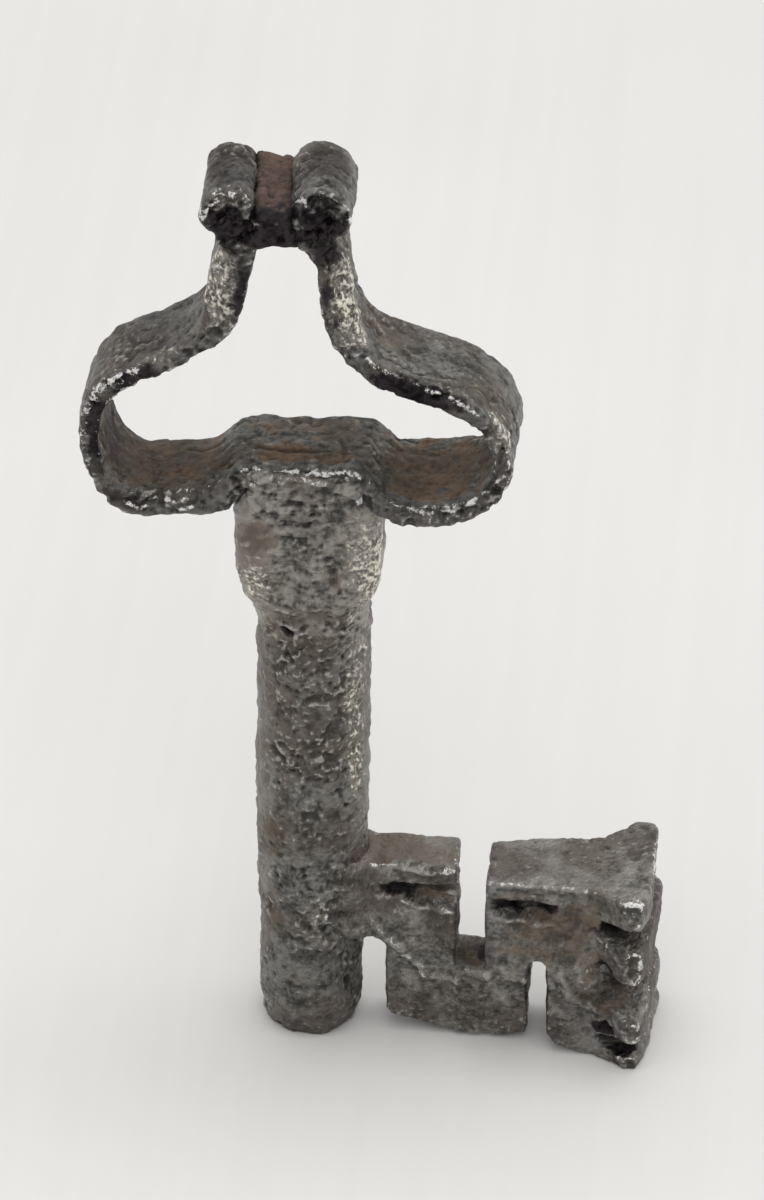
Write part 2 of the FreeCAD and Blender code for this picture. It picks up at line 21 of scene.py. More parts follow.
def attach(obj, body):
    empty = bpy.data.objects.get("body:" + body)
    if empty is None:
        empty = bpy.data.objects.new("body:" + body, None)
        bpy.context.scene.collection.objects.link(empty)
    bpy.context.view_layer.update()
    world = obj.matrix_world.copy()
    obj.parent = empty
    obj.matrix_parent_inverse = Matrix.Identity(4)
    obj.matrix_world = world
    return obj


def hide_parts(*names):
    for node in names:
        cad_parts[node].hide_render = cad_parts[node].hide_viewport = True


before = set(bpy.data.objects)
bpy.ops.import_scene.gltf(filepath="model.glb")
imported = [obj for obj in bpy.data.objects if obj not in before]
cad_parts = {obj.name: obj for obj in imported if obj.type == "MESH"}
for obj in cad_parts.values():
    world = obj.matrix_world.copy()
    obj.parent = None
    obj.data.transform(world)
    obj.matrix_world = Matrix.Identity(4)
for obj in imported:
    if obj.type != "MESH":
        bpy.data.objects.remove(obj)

log = logging.getLogger("key")

Array = np.ndarray
Pair = tuple[float, float]
Triple = tuple[float, float, float]
Socket = bpy.types.NodeSocket
Shape = bmesh.types.BMesh

MM = 0.001
PICTURE = (764, 1200)
FRONT = (0.0, -1.0, 0.0)
UP = (0.0, 0.0, 1.0)
EVEN = (1.0, 1.0, 1.0)

# Meshes, in millimetres
WELD = 0.002

# Soft edges of patches and seams, as shares of their reach or width
PATCH_EDGE = (0.0, 0.6)
FACING_EDGE = (-0.05, 0.6)
PATCH_RAGGED = 0.30
RAGGED_SIZE = 1.6
SEAM_EDGE = (0.15, 1.0)
SEAM_RAGGED = 0.5
SEAM_NEAR = 3

# Relief that tells crests, worn edges and sooty hollows, in millimetres. The hollows also get painted
# shade and the crests a painted highlight.
WIDE, NARROW = 14, 3
NARROW_WEIGHT = 2.0
CREST_MIDDLE, CREST_SPAN = 0.5, 0.44
SHARP_EDGE = (0.065, 0.125)
WEAR_ON_EDGES, WEAR_ALL_OVER = 0.4, 0.60
SHADED_SOOTY_HOLLOW = (0.08, 0.50)
HOLLOW_SHADE_AND_SOOT = 0.7
SEAM_SOOT, SEAM_SOOT_MOST = 1.6, 0.9


class Mark(Enum):
    """What a point of the surface is marked with, by the name of its attribute."""

    # Crest: how far a point stands out. It lightens the colour and carries a painted highlight, so hollows
    # read darker.
    CREST = "crest"
    WEAR = "wear"
    RUST = "rust"
    # Soot and painted shade: grime and dark crust, plus shade painted into hollows, slots and front faces.
    SOOT_AND_SHADE = "soot_and_shade"
    # Golden tone, with painted glints and highlights on lit sides and crests.
    GILT_AND_GLINT = "gilt_and_glint"
    # Paler tone, and painted light on lit sides and tops.
    LIT_AND_PALE = "pale"
    PITS = "pits"
    CALM = "calm"


UNPAINTED = (Mark.PITS, Mark.CALM)


class Seed(IntEnum):
    """Which noise each use draws."""

    HAMMER = 1
    LUMPS = 2
    BLOTS = 3
    SPARSE = 4
    PATCHES = 5
    SEAMS = 8
    SPECKS = 9
    CREASES = 11
    DENTS = 21
    CRUST = 31


def smooth_step(value: Array, low: float, high: float) -> Array:
    """Ease a value from 0 at low to 1 at high."""
    share = np.clip((value - low) / (high - low), 0.0, 1.0)
    return share * share * (3.0 - 2.0 * share)


def fractal(points: Array, size: float, octaves: int, seed: int) -> Array:
    """Fractal noise of about -1 to 1 whose largest features are `size` millimetres across.

    Args:
        points: Places, one row each.
        size: Width of the largest features.
        octaves: How many finer layers are added.
        seed: Which pattern.

    Returns:
        One value per point.
    """
    spots = points / size + seed * 17.31
    return np.fromiter((noise.fractal(spot, 0.9, 2.1, octaves) for spot in spots), float, len(spots))


def cells(points: Array, size: float, seed: int) -> Array:
    """Distance to the nearest of scattered centres about `size` apart, as a share of that size."""
    spots = points / size + seed * 9.73
    return np.fromiter((noise.voronoi(spot)[0][0] for spot in spots), float, len(spots))


@dataclass(frozen=True)
class Patch:
    """A soft-edged spot on a piece, in millimetres, which can be kept to surfaces that face one way."""

    mark: Mark
    centre: Triple
    reach: Triple
    amount: float = 1.0
    facing: Triple | None = None

    def strength(self, points: Array, normals: Array, ragged: Array | float = 0.0) -> Array:
        """How strongly the patch marks each point.

        Args:
            points: Places, one row each.
            normals: Unit normals, one row each.
            ragged: Noise that shifts the patch's outline, as a share of its reach.

        Returns:
            One value per point, from 0 to the patch's amount.
        """
        gap = np.linalg.norm((points - np.array(self.centre)) / np.array(self.reach), axis=1)
        value = smooth_step(1.0 - gap - ragged, *PATCH_EDGE)
        if self.facing is not None:
            way = Vector(self.facing).normalized()
            value = value * smooth_step(normals @ np.array(way), *FACING_EDGE)
        return value * self.amount


@dataclass(frozen=True)
class Groove:
    """A ragged seam along a line, in millimetres, or a ridge where its depth is below zero."""

    path: tuple[Triple, ...]
    width: float
    depth: float
    wear: float = 0.0

    def share(self, points: Array) -> Array:
        """How near each point is to the seam's middle.

        Args:
            points: Places, one row each.

        Returns:
            One value per point, from 0 outside the seam to 1 at its middle.
        """
        nearest = np.full(len(points), np.inf)
        for start, end in zip(self.path, self.path[1:]):
            first, run = np.array(start), np.array(end) - np.array(start)
            along = np.clip((points - first) @ run / (run @ run), 0.0, 1.0)
            gap = np.linalg.norm(points - first - along[:, None] * run, axis=1)
            nearest = np.minimum(nearest, gap)
        close = np.flatnonzero(nearest < self.width * SEAM_NEAR)
        shift = fractal(points[close], RAGGED_SIZE, 3, Seed.SEAMS) * self.width * SEAM_RAGGED
        nearest[close] += shift
        start, end = SEAM_EDGE
        return 1.0 - smooth_step(nearest, self.width * start, self.width * end)


@dataclass(frozen=True)
class Dent:
    """A ragged hollow pressed straight back into a piece's front, in millimetres."""

    centre: Triple
    reach: Triple
    ragged: float = 0.35
    ragged_size: float = 1.3
    near: float = 1.6

    def press(self, points: Array) -> Array:
        """Push the points that lie inside the hollow back to its floor.

        Args:
            points: Places, one row each.

        Returns:
            The places after the push.
        """
        pressed = points.copy()
        gap = (points - np.array(self.centre)) / np.array(self.reach)
        near = np.flatnonzero((np.hypot(gap[:, 0], gap[:, 2]) < self.near) & (gap[:, 1] < 1.0))
        shift = fractal(points[near], self.ragged_size, 3, Seed.DENTS) * self.ragged
        across = np.hypot(gap[near, 0], gap[near, 2]) + shift
        depth = np.sqrt(np.clip(1.0 - across ** 2, 0.0, 1.0)) * self.reach[1]
        floor = self.centre[1] + depth
        pressed[near, 1] = np.where(across < 1.0, np.maximum(points[near, 1], floor), points[near, 1])
        return pressed


@dataclass(frozen=True)
class Roughness:
    """How rough the forging and the corrosion left a piece, as heights and sizes in millimetres."""

    hammer: float = 0.20
    hammer_size: float = 5.0
    lumps: float = 0.19
    lump_size: float = 1.9
    creases: float = 0.10
    crease_size: float = 2.2
    crease_edge: Pair = (0.0, 0.14)
    pits: float = 0.27
    pit_size: float = 1.5
    pit_edge: Pair = (0.06, 0.50)
    specks: float = 0.10
    speck_size: float = 0.9
    speck_edge: Pair = (0.05, 0.5)
    calm_size: float = 6.0
    calm_edge: Pair = (-0.3, 0.3)
    calm_share: float = 0.4
    least: float = 0.1
    stretch: Triple = EVEN
    swell: float = 0.14


class Surface:
    """A closed, finely remeshed skin in millimetres that is worked point by point."""

    def __init__(self, source: Shape, voxel: float) -> None:
        """Remesh a closed shape.

        Args:
            source: The shape in millimetres. It is freed.
            voxel: Width of the new faces.
        """
        rough = bpy.data.meshes.new("rough")
        source.to_mesh(rough)
        source.free()
        holder = bpy.data.objects.new("rough", rough)
        bpy.context.scene.collection.objects.link(holder)
        remesh = holder.modifiers.new("remesh", "REMESH")
        remesh.mode = "VOXEL"
        remesh.voxel_size = voxel
        remesh.adaptivity = 0.0
        graph = bpy.context.evaluated_depsgraph_get()
        fine = bpy.data.meshes.new_from_object(holder.evaluated_get(graph))
        self.skin = bmesh.new()
        self.skin.from_mesh(fine)
        bpy.data.objects.remove(holder)
        bpy.data.meshes.remove(rough)
        bpy.data.meshes.remove(fine)

    def points(self) -> Array:
        """Places of all points, one row each."""
        return np.array([vertex.co for vertex in self.skin.verts])

    def normals(self) -> Array:
        """Unit normals of all points, one row each."""
        self.skin.normal_update()
        return np.array([vertex.normal for vertex in self.skin.verts])

    def place(self, points: Array) -> None:
        """Move every point to its row."""
        for vertex, spot in zip(self.skin.verts, points):
            vertex.co = spot

    def smooth(self, times: int, chosen: Array | None = None) -> None:
        """Round the edges a little more with each pass.

        Args:
            times: Smoothing passes.
            chosen: One true or false per point, or nothing to round them all.
        """
        soft = list(self.skin.verts)
        if chosen is not None:
            soft = [vertex for vertex, pick in zip(soft, chosen) if pick]
        for _ in range(times):
            bmesh.ops.smooth_vert(
                self.skin, verts=soft, factor=0.5, use_axis_x=True, use_axis_y=True, use_axis_z=True
            )

    def push(self, heights: Array | float) -> None:
        """Move every point along its normal by its own height in millimetres, or all by one."""
        self.place(self.points() + self.normals() * np.reshape(heights, (-1, 1)))

    def relief(self, times: int) -> Array:
        """How far each point stands out of its surroundings, in millimetres; hollows are negative.

        Args:
            times: Smoothing passes that give the surroundings. More passes look further round.

        Returns:
            One height per point.
        """
        kept, normals = self.points(), self.normals()
        self.smooth(times)
        heights = np.einsum("ij,ij->i", kept - self.points(), normals)
        self.place(kept)
        return heights


def tone(colour: Triple, share: float = 1.0) -> tuple[float, float, float, float]:
    """A linear colour for a node's socket, times a share."""
    red, green, blue = (part * share for part in colour)
    return (red, green, blue, 1.0)


class Shader:
    """A material's node tree, filled from short calls."""

    def __init__(self, name: str) -> None:
        """Start an empty material with that name."""
        self.material = bpy.data.materials.new(name)
        self.material.use_nodes = True
        self.tree = self.material.node_tree
        self.tree.nodes.clear()
        self.here = self.tree.nodes.new("ShaderNodeTexCoord").outputs["Object"]

    def node(self, kind: str, inputs: dict[str | int, object], **settings: str) -> bpy.types.Node:
        """Add a node.

        Args:
            kind: Its type.
            inputs: What each socket reads, which is another node's output or a plain value.
            settings: The node's own options.

        Returns:
            The node.
        """
        node = self.tree.nodes.new("ShaderNode" + kind)
        for name, option in settings.items():
            setattr(node, name, option)
        for name, value in inputs.items():
            if isinstance(value, Socket):
                self.tree.links.new(value, node.inputs[name])
            else:
                node.inputs[name].default_value = value
        return node

    def grain(self, size: float, detail: float, rough: float, stretch: Triple = EVEN) -> Socket:
        """Noise of 0 to 1 with features of that many millimetres, drawn out along the stretched axes."""
        spot = self.node("Mapping", {"Vector": self.here, "Scale": [1.0 / length for length in stretch]})
        looks = {"Scale": 1.0 / (size * MM), "Detail": detail, "Roughness": rough}
        return self.node("TexNoise", {"Vector": spot.outputs["Vector"], **looks}).outputs["Fac"]

    def pits(self, size: float) -> Socket:
        """Distance to scattered pits about that many millimetres apart."""
        spread = {"Vector": self.here, "Scale": 1.0 / (size * MM), "Smoothness": 0.3}
        return self.node("TexVoronoi", spread, feature="SMOOTH_F1").outputs["Distance"]

    def wires(self, size: float, width: float, stretch: Triple) -> Socket:
        """Thin wandering lines of 1 on 0, about that many millimetres apart."""
        away = self.sum((self.grain(size, 3.0, 0.6, stretch), 1.0), offset=-0.5)
        return self.ease(self.count("ABSOLUTE", away, 0.0), 0.0, width, 1.0, 0.0)

    def count(self, operation: str, first: object, second: object) -> Socket:
        """Join two values by an operation such as ADD or MULTIPLY."""
        return self.node("Math", {0: first, 1: second}, operation=operation).outputs[0]

    def ease(self, value: object, low: float, high: float, start: float = 0.0, end: float = 1.0) -> Socket:
        """Ease a value from start at low to end at high."""
        span = {"Value": value, "From Min": low, "From Max": high, "To Min": start, "To Max": end}
        return self.node("MapRange", span, interpolation_type="SMOOTHSTEP").outputs["Result"]

    def blend(self, share: object, first: object, second: object) -> Socket:
        """A colour that goes from the first to the second as the share goes from 0 to 1."""
        return self.node("Mix", {0: share, 6: first, 7: second}, data_type="RGBA").outputs[2]

    def mark(self, mark: Mark) -> Socket:
        """How strongly the piece's points carry a mark."""
        return self.node("Attribute", {}, attribute_name=mark.value).outputs["Fac"]

    def sum(self, *terms: tuple[object, float], offset: float = 0.0) -> Socket:
        """Add values up, each times its own weight, and an offset.

        Args:
            terms: Pairs of a value and its weight.
            offset: What is added once.

        Returns:
            The sum.
        """
        total: object = offset
        for value, weight in terms:
            total = self.count("ADD", self.count("MULTIPLY", value, weight), total)
        return total

    def finish(self, looks: dict[str, object]) -> bpy.types.Material:
        """Give the material its surface.

        Args:
            looks: What each socket of the surface reads.

        Returns:
            The material.
        """
        surface = self.node("BsdfPrincipled", looks)
        self.node("OutputMaterial", {"Surface": surface.outputs["BSDF"]})
        return self.material


@dataclass(frozen=True)
class IronFinish:
    """Wrought iron with a dark patina, rust in its hollows and bare metal on its edges.

    Its colour also holds painted light: painted shade in hollows and on fronts, and painted highlights and
    glints on crests and lit sides.
    """

    name: str
    dark: Triple = (0.054, 0.053, 0.049)
    light: Triple = (0.250, 0.241, 0.224)
    # Colour of the painted highlight on crests.
    painted_highlight: Triple = (0.480, 0.465, 0.435)
    tint: Triple = (0.155, 0.134, 0.116)
    rust: Triple = (0.135, 0.095, 0.070)
    earth: Triple = (0.130, 0.108, 0.085)
    # Colours of soot and painted shade, down to near black in the deepest hollows.
    soot_and_shade: Triple = (0.042, 0.032, 0.037)
    deep: Triple = (0.005, 0.004, 0.005)
    # Golden tone, and at a higher share the colour of painted glints.
    gilt_and_glint: Triple = (0.700, 0.660, 0.580)
    bright: Triple = (0.90, 0.89, 0.87)
    metal: float = 0.85
    rusty_metal: float = 0.35
    gloss: float = 0.40
    bump: float = 0.8
    bump_height: float = 0.4
    stretch: Triple = EVEN

    def make(self) -> bpy.types.Material:
        """Build the material.

        Returns:
            A material that reads the piece's marks and its place.
        """
        shader = Shader(self.name)
        ease, blend, add, times = shader.ease, shader.blend, shader.sum, "MULTIPLY"
        fine = shader.grain(0.45, 6.0, 0.65, self.stretch)
        middle = shader.grain(2.2, 6.0, 0.62, self.stretch)
        broad = shader.grain(8.0, 4.0, 0.55)
        wires = shader.wires(1.3, 0.030, self.stretch)
        marks = (Mark.CREST, Mark.RUST, Mark.SOOT_AND_SHADE, Mark.GILT_AND_GLINT, Mark.WEAR, Mark.LIT_AND_PALE)
        crest, rust, soot_and_shade, gilt_and_glint, wear, pale = (shader.mark(mark) for mark in marks)

        # The patina goes from dark to light. Crests and the pale mark push it lighter, which paints light
        # on crests, lit sides and tops, and paints shade in hollows.
        body = add((middle, 0.95), (fine, 0.55), (crest, 0.45), (pale, 0.38), (wires, 0.10), offset=-0.06)
        colour = blend(ease(body, 0.66, 1.18), tone(self.dark), tone(self.light))
        ruddy = blend(ease(body, 0.66, 1.15), tone(self.tint, 0.45), tone(self.tint))
        colour = blend(ease(broad, 0.43, 0.59, 0.0, 0.85), colour, ruddy)
        # Painted highlight: crests and fine grain are lifted toward a pale metal colour, as if they caught
        # the light.
        painted_highlight = add((crest, 0.9), (fine, 0.8), (broad, 0.6), (gilt_and_glint, 0.25), (wires, 0.16))
        colour = blend(ease(painted_highlight, 1.38, 1.62, 0.0, 0.75), colour, tone(self.painted_highlight))

        rusty = add((rust, 1.0), (middle, 1.6), (broad, 0.8), (crest, -0.2), offset=-1.1)
        rusty = shader.count(times, ease(rusty, 0.25, 0.75), ease(rust, 0.0, 0.25))
        earth = blend(ease(broad, 0.42, 0.60), tone(self.rust), tone(self.earth))
        colour = blend(rusty, colour, blend(ease(body, 0.70, 1.15), tone(self.rust, 0.33), earth))

        # Golden tone where the gilt mark runs, and painted glints as bright specks on its crests.
        golden = ease(add((fine, 1.0), (middle, 0.6)), 0.62, 0.98)
        golden = blend(golden, tone(self.gilt_and_glint, 0.12), tone(self.gilt_and_glint, 0.62))
        colour = blend(ease(gilt_and_glint, 0.05, 0.8, 0.0, 0.85), colour, golden)
        glint_specks = ease(add((gilt_and_glint, 0.8), (crest, 1.2), (fine, 3.0), offset=-2.25), 0.42, 0.95)
        glint_specks = shader.count(times, glint_specks, ease(gilt_and_glint, 0.02, 0.3))
        colour = blend(glint_specks, colour, tone(self.gilt_and_glint, 1.22))

        # Soot and painted shade: marked hollows, slots and front faces are darkened toward near black.
        sooty_and_shaded = ease(add((soot_and_shade, 1.0), (middle, 0.7), offset=-0.35), 0.15, 0.85)
        colour = blend(sooty_and_shaded, colour, blend(ease(body, 0.7, 1.2), tone(self.deep), tone(self.soot_and_shade)))

        worn = add((wear, 0.95), (crest, 1.1), (fine, 2.6), (middle, 1.7), (wires, 0.55), offset=-3.10)
        worn = shader.count(times, ease(worn, 0.40, 0.90), ease(wear, 0.05, 0.4))
        silver = ease(add((fine, 1.0), (wires, 0.12), (wear, 0.10)), 0.46, 0.72)
        colour = blend(worn, colour, blend(silver, tone(self.bright, 0.36), tone(self.bright)))

        hollows = ease(shader.pits(0.75), 0.08, 0.42)
        height = add((fine, 0.8), (middle, 0.8), (hollows, 0.3), (wires, 0.12))
        depth = self.bump_height * MM
        bump = shader.node("Bump", {"Strength": self.bump, "Distance": depth, "Height": height})
        return shader.finish({
            "Base Color": colour,
            "Metallic": ease(rusty, 0.0, 1.0, self.metal, self.metal * self.rusty_metal),
            "Roughness": add((fine, 0.35), (rusty, 0.22), (worn, -0.12), offset=self.gloss - 0.17),
            "Normal": bump.outputs["Normal"],
        })


@dataclass
class Piece:
    """One forged piece: a copy of its solid, worked over and dressed."""

    node: str
    slot: str
    finish: IronFinish
    roughness: Roughness = field(default_factory=Roughness)
    patches: tuple[Patch, ...] = ()
    grooves: tuple[Groove, ...] = ()
    dents: tuple[Dent, ...] = ()
    voxel: float = 0.23
    rounding: int = 3
    edge_wear: float = 0.6

    def block(self) -> Shape:
        """Copy the piece's solid.

        Returns:
            A merged copy in millimetres.
        """
        shape = bmesh.new()
        shape.from_mesh(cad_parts[self.node].data)
        bmesh.ops.remove_doubles(shape, verts=shape.verts, dist=WELD * MM)
        bmesh.ops.scale(shape, vec=Vector((1, 1, 1)) / MM, verts=shape.verts)
        return shape

    def heights(self, points: Array, normals: Array) -> Array:
        """Height of hammer marks, lumps, pits and seams at each point, in millimetres.

        Args:
            points: Places, one row each.
            normals: Unit normals, one row each.

        Returns:
            One height per point.
        """
        rough = self.roughness
        drawn = points / np.array(rough.stretch)
        blots = smooth_step(-fractal(drawn, rough.pit_size, 4, Seed.BLOTS), *rough.pit_edge)
        specks = 1.0 - smooth_step(cells(drawn, rough.speck_size, Seed.SPECKS), *rough.speck_edge)
        lines = np.abs(fractal(drawn, rough.crease_size, 3, Seed.CREASES))
        creases = 1.0 - smooth_step(lines, *rough.crease_edge)
        sparse = smooth_step(fractal(points, rough.calm_size, 2, Seed.SPARSE), *rough.calm_edge)
        sparse = rough.calm_share + (1.0 - rough.calm_share) * sparse
        for patch in self.patches:
            if patch.mark is Mark.PITS:
                sparse = sparse + patch.strength(points, normals)
        sparse = np.maximum(sparse, rough.least)
        height = fractal(points, rough.hammer_size, 2, Seed.HAMMER) * rough.hammer
        height += fractal(drawn, rough.lump_size, 4, Seed.LUMPS) * rough.lumps
        height += (creases * rough.creases - blots * rough.pits - specks * rough.specks) * sparse
        for groove in self.grooves:
            height -= groove.share(points) * groove.depth
        return height + rough.swell

    def shape(self, surface: Surface) -> None:
        """Any form that only this piece has, worked before it is roughened."""

    def mark(self, surface: Surface, edges: Array, corners: Array) -> dict[Mark, Array]:
        """Work out the marks of every point.

        Args:
            surface: The finished skin.
            edges: How far each point stood out before the skin was roughened, in millimetres.
            corners: The same, from its nearest surroundings alone.

        Returns:
            One value per point for each mark.
        """
        points, normals = surface.points(), surface.normals()
        marks = {mark: np.zeros(len(points)) for mark in Mark}
        ragged = fractal(points, RAGGED_SIZE, 4, Seed.PATCHES) * PATCH_RAGGED
        for patch in self.patches:
            marks[patch.mark] = np.maximum(marks[patch.mark], patch.strength(points, normals, ragged))
        relief = surface.relief(WIDE) + surface.relief(NARROW) * NARROW_WEIGHT
        standing = (relief - edges - corners * NARROW_WEIGHT) / CREST_SPAN
        marks[Mark.CREST] = np.clip(CREST_MIDDLE + standing, 0.0, 1.0)
        sharp = smooth_step(edges, *SHARP_EDGE) * (1.0 - np.minimum(marks[Mark.CALM], 1.0))
        wear, soot_and_shade = marks[Mark.WEAR], marks[Mark.SOOT_AND_SHADE]
        wear = sharp * (self.edge_wear + wear * WEAR_ON_EDGES) + wear * WEAR_ALL_OVER
        # Painted shade with grime in hollows: points that sit lower than their surroundings are darkened.
        soot_and_shade = np.maximum(soot_and_shade, smooth_step(edges - relief, *SHADED_SOOTY_HOLLOW) * HOLLOW_SHADE_AND_SOOT)
        for groove in self.grooves:
            share = groove.share(points)
            wear = np.maximum(wear, share * groove.wear)
            soot_and_shade = np.maximum(soot_and_shade, share * min(SEAM_SOOT_MOST, max(groove.depth, 0.0) * SEAM_SOOT))
        marks[Mark.WEAR], marks[Mark.SOOT_AND_SHADE] = wear, soot_and_shade
        return marks

    def build(self) -> bpy.types.Object:
        """Make the piece, dress it and tie it to the frame.

        Returns:
            The finished object, at the origin.
        """
        surface = Surface(self.block(), self.voxel * (1.0))
        surface.smooth(self.rounding)
        for dent in self.dents:
            surface.place(dent.press(surface.points()))
        self.shape(surface)
        edges, corners = surface.relief(WIDE), surface.relief(NARROW)
        surface.push(self.heights(surface.points(), surface.normals()))
        surface.smooth(1)
        marks = self.mark(surface, edges, corners)
        points = surface.points()
        points[:, 2] = np.maximum(points[:, 2], 0.0)
        surface.place(points * MM)
        mesh = bpy.data.meshes.new("iron_" + self.node)
        surface.skin.to_mesh(mesh)
        surface.skin.free()
        mesh.polygons.foreach_set("use_smooth", [True] * len(mesh.polygons))
        for mark, values in marks.items():
            if mark not in UNPAINTED:
                layer = mesh.attributes.new(mark.value, "FLOAT", "POINT")
                layer.data.foreach_set("value", values.astype(np.float32))
        mesh.materials.append(self.finish.make())
        piece = bpy.data.objects.new("iron_" + self.node, mesh)
        bpy.context.scene.collection.objects.link(piece)
        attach(piece, "root")
        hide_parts(self.node)
        log.info("%s: %d points", piece.name, len(mesh.vertices))
        return piece


@dataclass(frozen=True)
class Lamp:
    """A square soft lamp that points at the middle of the key."""

    name: str
    place: Triple
    size: float
    power: float
    shines_on: str | None = None
    aim: Triple = (0.005, 0.0, 0.05)

    def hang(self, groups: dict[str, bpy.types.Collection]) -> None:
        """Put the lamp into the scene.

        Args:
            groups: What a lamp can be kept to, by name. Without one it shines on everything.
        """
        data = bpy.data.lights.new(self.name, "AREA")
        data.size = self.size
        data.energy = self.power
        lamp = bpy.data.objects.new(self.name, data)
        lamp.location = self.place
        way = Vector(self.aim) - Vector(self.place)
        lamp.rotation_euler = way.to_track_quat("-Z", "Y").to_euler()
        bpy.context.scene.collection.objects.link(lamp)
        if self.shines_on is not None:
            lamp.light_linking.receiver_collection = groups[self.shines_on]


@dataclass
class Studio:
    """Pale table, soft lamps and the camera that stands where the photograph was taken."""

    lens_pixels: float = 6870.0
    pitch: float = 35.0
    azimuth: float = 4.5
    roll: float = 0.85
    distance: float = 755.0
    tip_at: Pair = (311.2, 1007.6)
    clip: Pair = (0.01, 20.0)
    sky: float = 0.655
    sky_colour: Triple = (1.0, 0.992, 0.98)
    table_size: float = 4.0
    table_dark: Triple = (0.765, 0.757, 0.742)
    table_light: Triple = (0.805, 0.797, 0.782)
    lamps: tuple[Lamp, ...] = (
        Lamp("left_lamp", (-0.70, 0.10, 0.44), 0.62, 1.45, "key_only"),
        Lamp("right_lamp", (0.65, 0.25, 0.42), 0.56, 1.75, "key_only"),
        Lamp("table_lamp", (0.0, 0.05, 1.10), 0.70, 3.3, "table_only"),
        Lamp("top_lamp", (0.10, 0.10, 1.00), 0.30, 1.2),
        Lamp("front_lamp", (0.05, -0.55, 0.80), 0.40, 0.9),
    )

    def table(self) -> bpy.types.Object:
        """Make the table top, level with the shank's tip.

        Returns:
            The table top.
        """
        plane = bmesh.new()
        bmesh.ops.create_grid(plane, x_segments=1, y_segments=1, size=self.table_size)
        mesh = bpy.data.meshes.new("table_top")
        plane.to_mesh(mesh)
        plane.free()
        shader = Shader("table_top")
        streaks = shader.ease(shader.grain(3.0, 3.0, 0.5, (1.0, 40.0, 1.0)), 0.3, 0.7, 0.0, 0.3)
        clouds = shader.ease(shader.grain(90.0, 2.0, 0.5), 0.3, 0.7, 0.1, 0.7)
        share = shader.count("ADD", streaks, clouds)
        colour = shader.blend(share, tone(self.table_dark), tone(self.table_light))
        looks = {"Base Color": colour, "Roughness": 0.6, "Specular IOR Level": 0.2}
        mesh.materials.append(shader.finish(looks))
        table = bpy.data.objects.new("table_top", mesh)
        bpy.context.scene.collection.objects.link(table)
        return table

    def group(self, name: str, members: list[bpy.types.Object]) -> bpy.types.Collection:
        """Group objects for a lamp to shine on.

        Args:
            name: Name of the group.
            members: The objects.

        Returns:
            The group, which is not part of the scene itself.
        """
        group = bpy.data.collections.new(name)
        for member in members:
            group.objects.link(member)
        return group

    def surroundings(self) -> None:
        """Shed even pale light from all round."""
        world = bpy.data.worlds.new("studio")
        world.use_nodes = True
        back = world.node_tree.nodes["Background"]
        back.inputs["Color"].default_value = tone(self.sky_colour)
        back.inputs["Strength"].default_value = self.sky
        bpy.context.scene.world = world

    def camera(self) -> None:
        """Stand the scene's camera at the photograph's angle."""
        pitch, azimuth = math.radians(self.pitch), math.radians(self.azimuth)
        level = math.cos(pitch)
        back = Vector((math.sin(azimuth) * level, -math.cos(azimuth) * level, math.sin(pitch)))
        right = Vector((math.cos(azimuth), math.sin(azimuth), 0.0))
        turn = Matrix.Rotation(math.radians(self.roll), 3, back)
        above = turn @ back.cross(right)
        right = turn @ right
        across = (self.tip_at[0] - PICTURE[0] / 2) / self.lens_pixels
        down = (self.tip_at[1] - PICTURE[1] / 2) / self.lens_pixels
        ray = right * across - above * down - back
        data = bpy.data.cameras.new("camera")
        data.lens = self.lens_pixels / max(PICTURE) * data.sensor_width
        data.clip_start, data.clip_end = self.clip
        camera = bpy.data.objects.new("camera", data)
        turned = Matrix((right, above, back)).transposed().to_4x4()
        camera.matrix_world = Matrix.Translation(-ray * self.distance * MM) @ turned
        bpy.context.scene.collection.objects.link(camera)
        bpy.context.scene.camera = camera

    def build(self, key: list[bpy.types.Object]) -> None:
        """Set the table, the light and the camera.

        Args:
            key: The key's pieces. Only they catch the side lamps, whose shadows the table doesn't show.
        """
        groups = {
            "table_only": self.group("table_only", [self.table()]),
            "key_only": self.group("key_only", key),
        }
        self.surroundings()
        for lamp in self.lamps:
            lamp.hang(groups)
        self.camera()
        bpy.context.scene.view_settings.view_transform = "Standard"


def add_block(shape: Shape, low: Triple, high: Triple, round_edge: float) -> None:
    """Add a block with rounded edges to a shape that is remeshed later.

    Args:
        shape: The shape, in millimetres.
        low: Lowest corner.
        high: Highest corner.
        round_edge: Radius of the edges.
    """
    block = bmesh.new()
    size = Vector(high) - Vector(low)
    middle = (Vector(high) + Vector(low)) / 2
    place = Matrix.Translation(middle) @ Matrix.Diagonal((*size, 1.0))
    bmesh.ops.create_cube(block, size=1.0, matrix=place)
    bmesh.ops.bevel(
        block, geom=block.edges, offset=round_edge, segments=3, profile=0.5, affect="EDGES", material=-1
    )
    part = bpy.data.meshes.new("block")
    block.to_mesh(part)
    block.free()
    shape.from_mesh(part)
    bpy.data.meshes.remove(part)


def add_lump(shape: Shape, centre: Triple, reach: Triple) -> None:
    """Add an ellipsoid to a shape that is remeshed later."""
    place = Matrix.Translation(centre) @ Matrix.Diagonal((*reach, 1.0))
    bmesh.ops.create_uvsphere(shape, u_segments=32, v_segments=20, radius=1.0, matrix=place)


def add_cone(shape: Shape, place: Matrix, radii: Pair, length: float, segments: int) -> None:
    """Add a cone or a round bar to a shape that is remeshed later.

    Args:
        shape: The shape, in millimetres.
        place: Where its middle lies and how it is turned from upright.
        radii: Radius at its lower and its upper end.
        length: Length along its own axis.
        segments: How many sides stand for the round.
    """
    bmesh.ops.create_cone(
        shape, cap_ends=True, segments=segments, radius1=radii[0], radius2=radii[1], depth=length,
        matrix=place,
    )


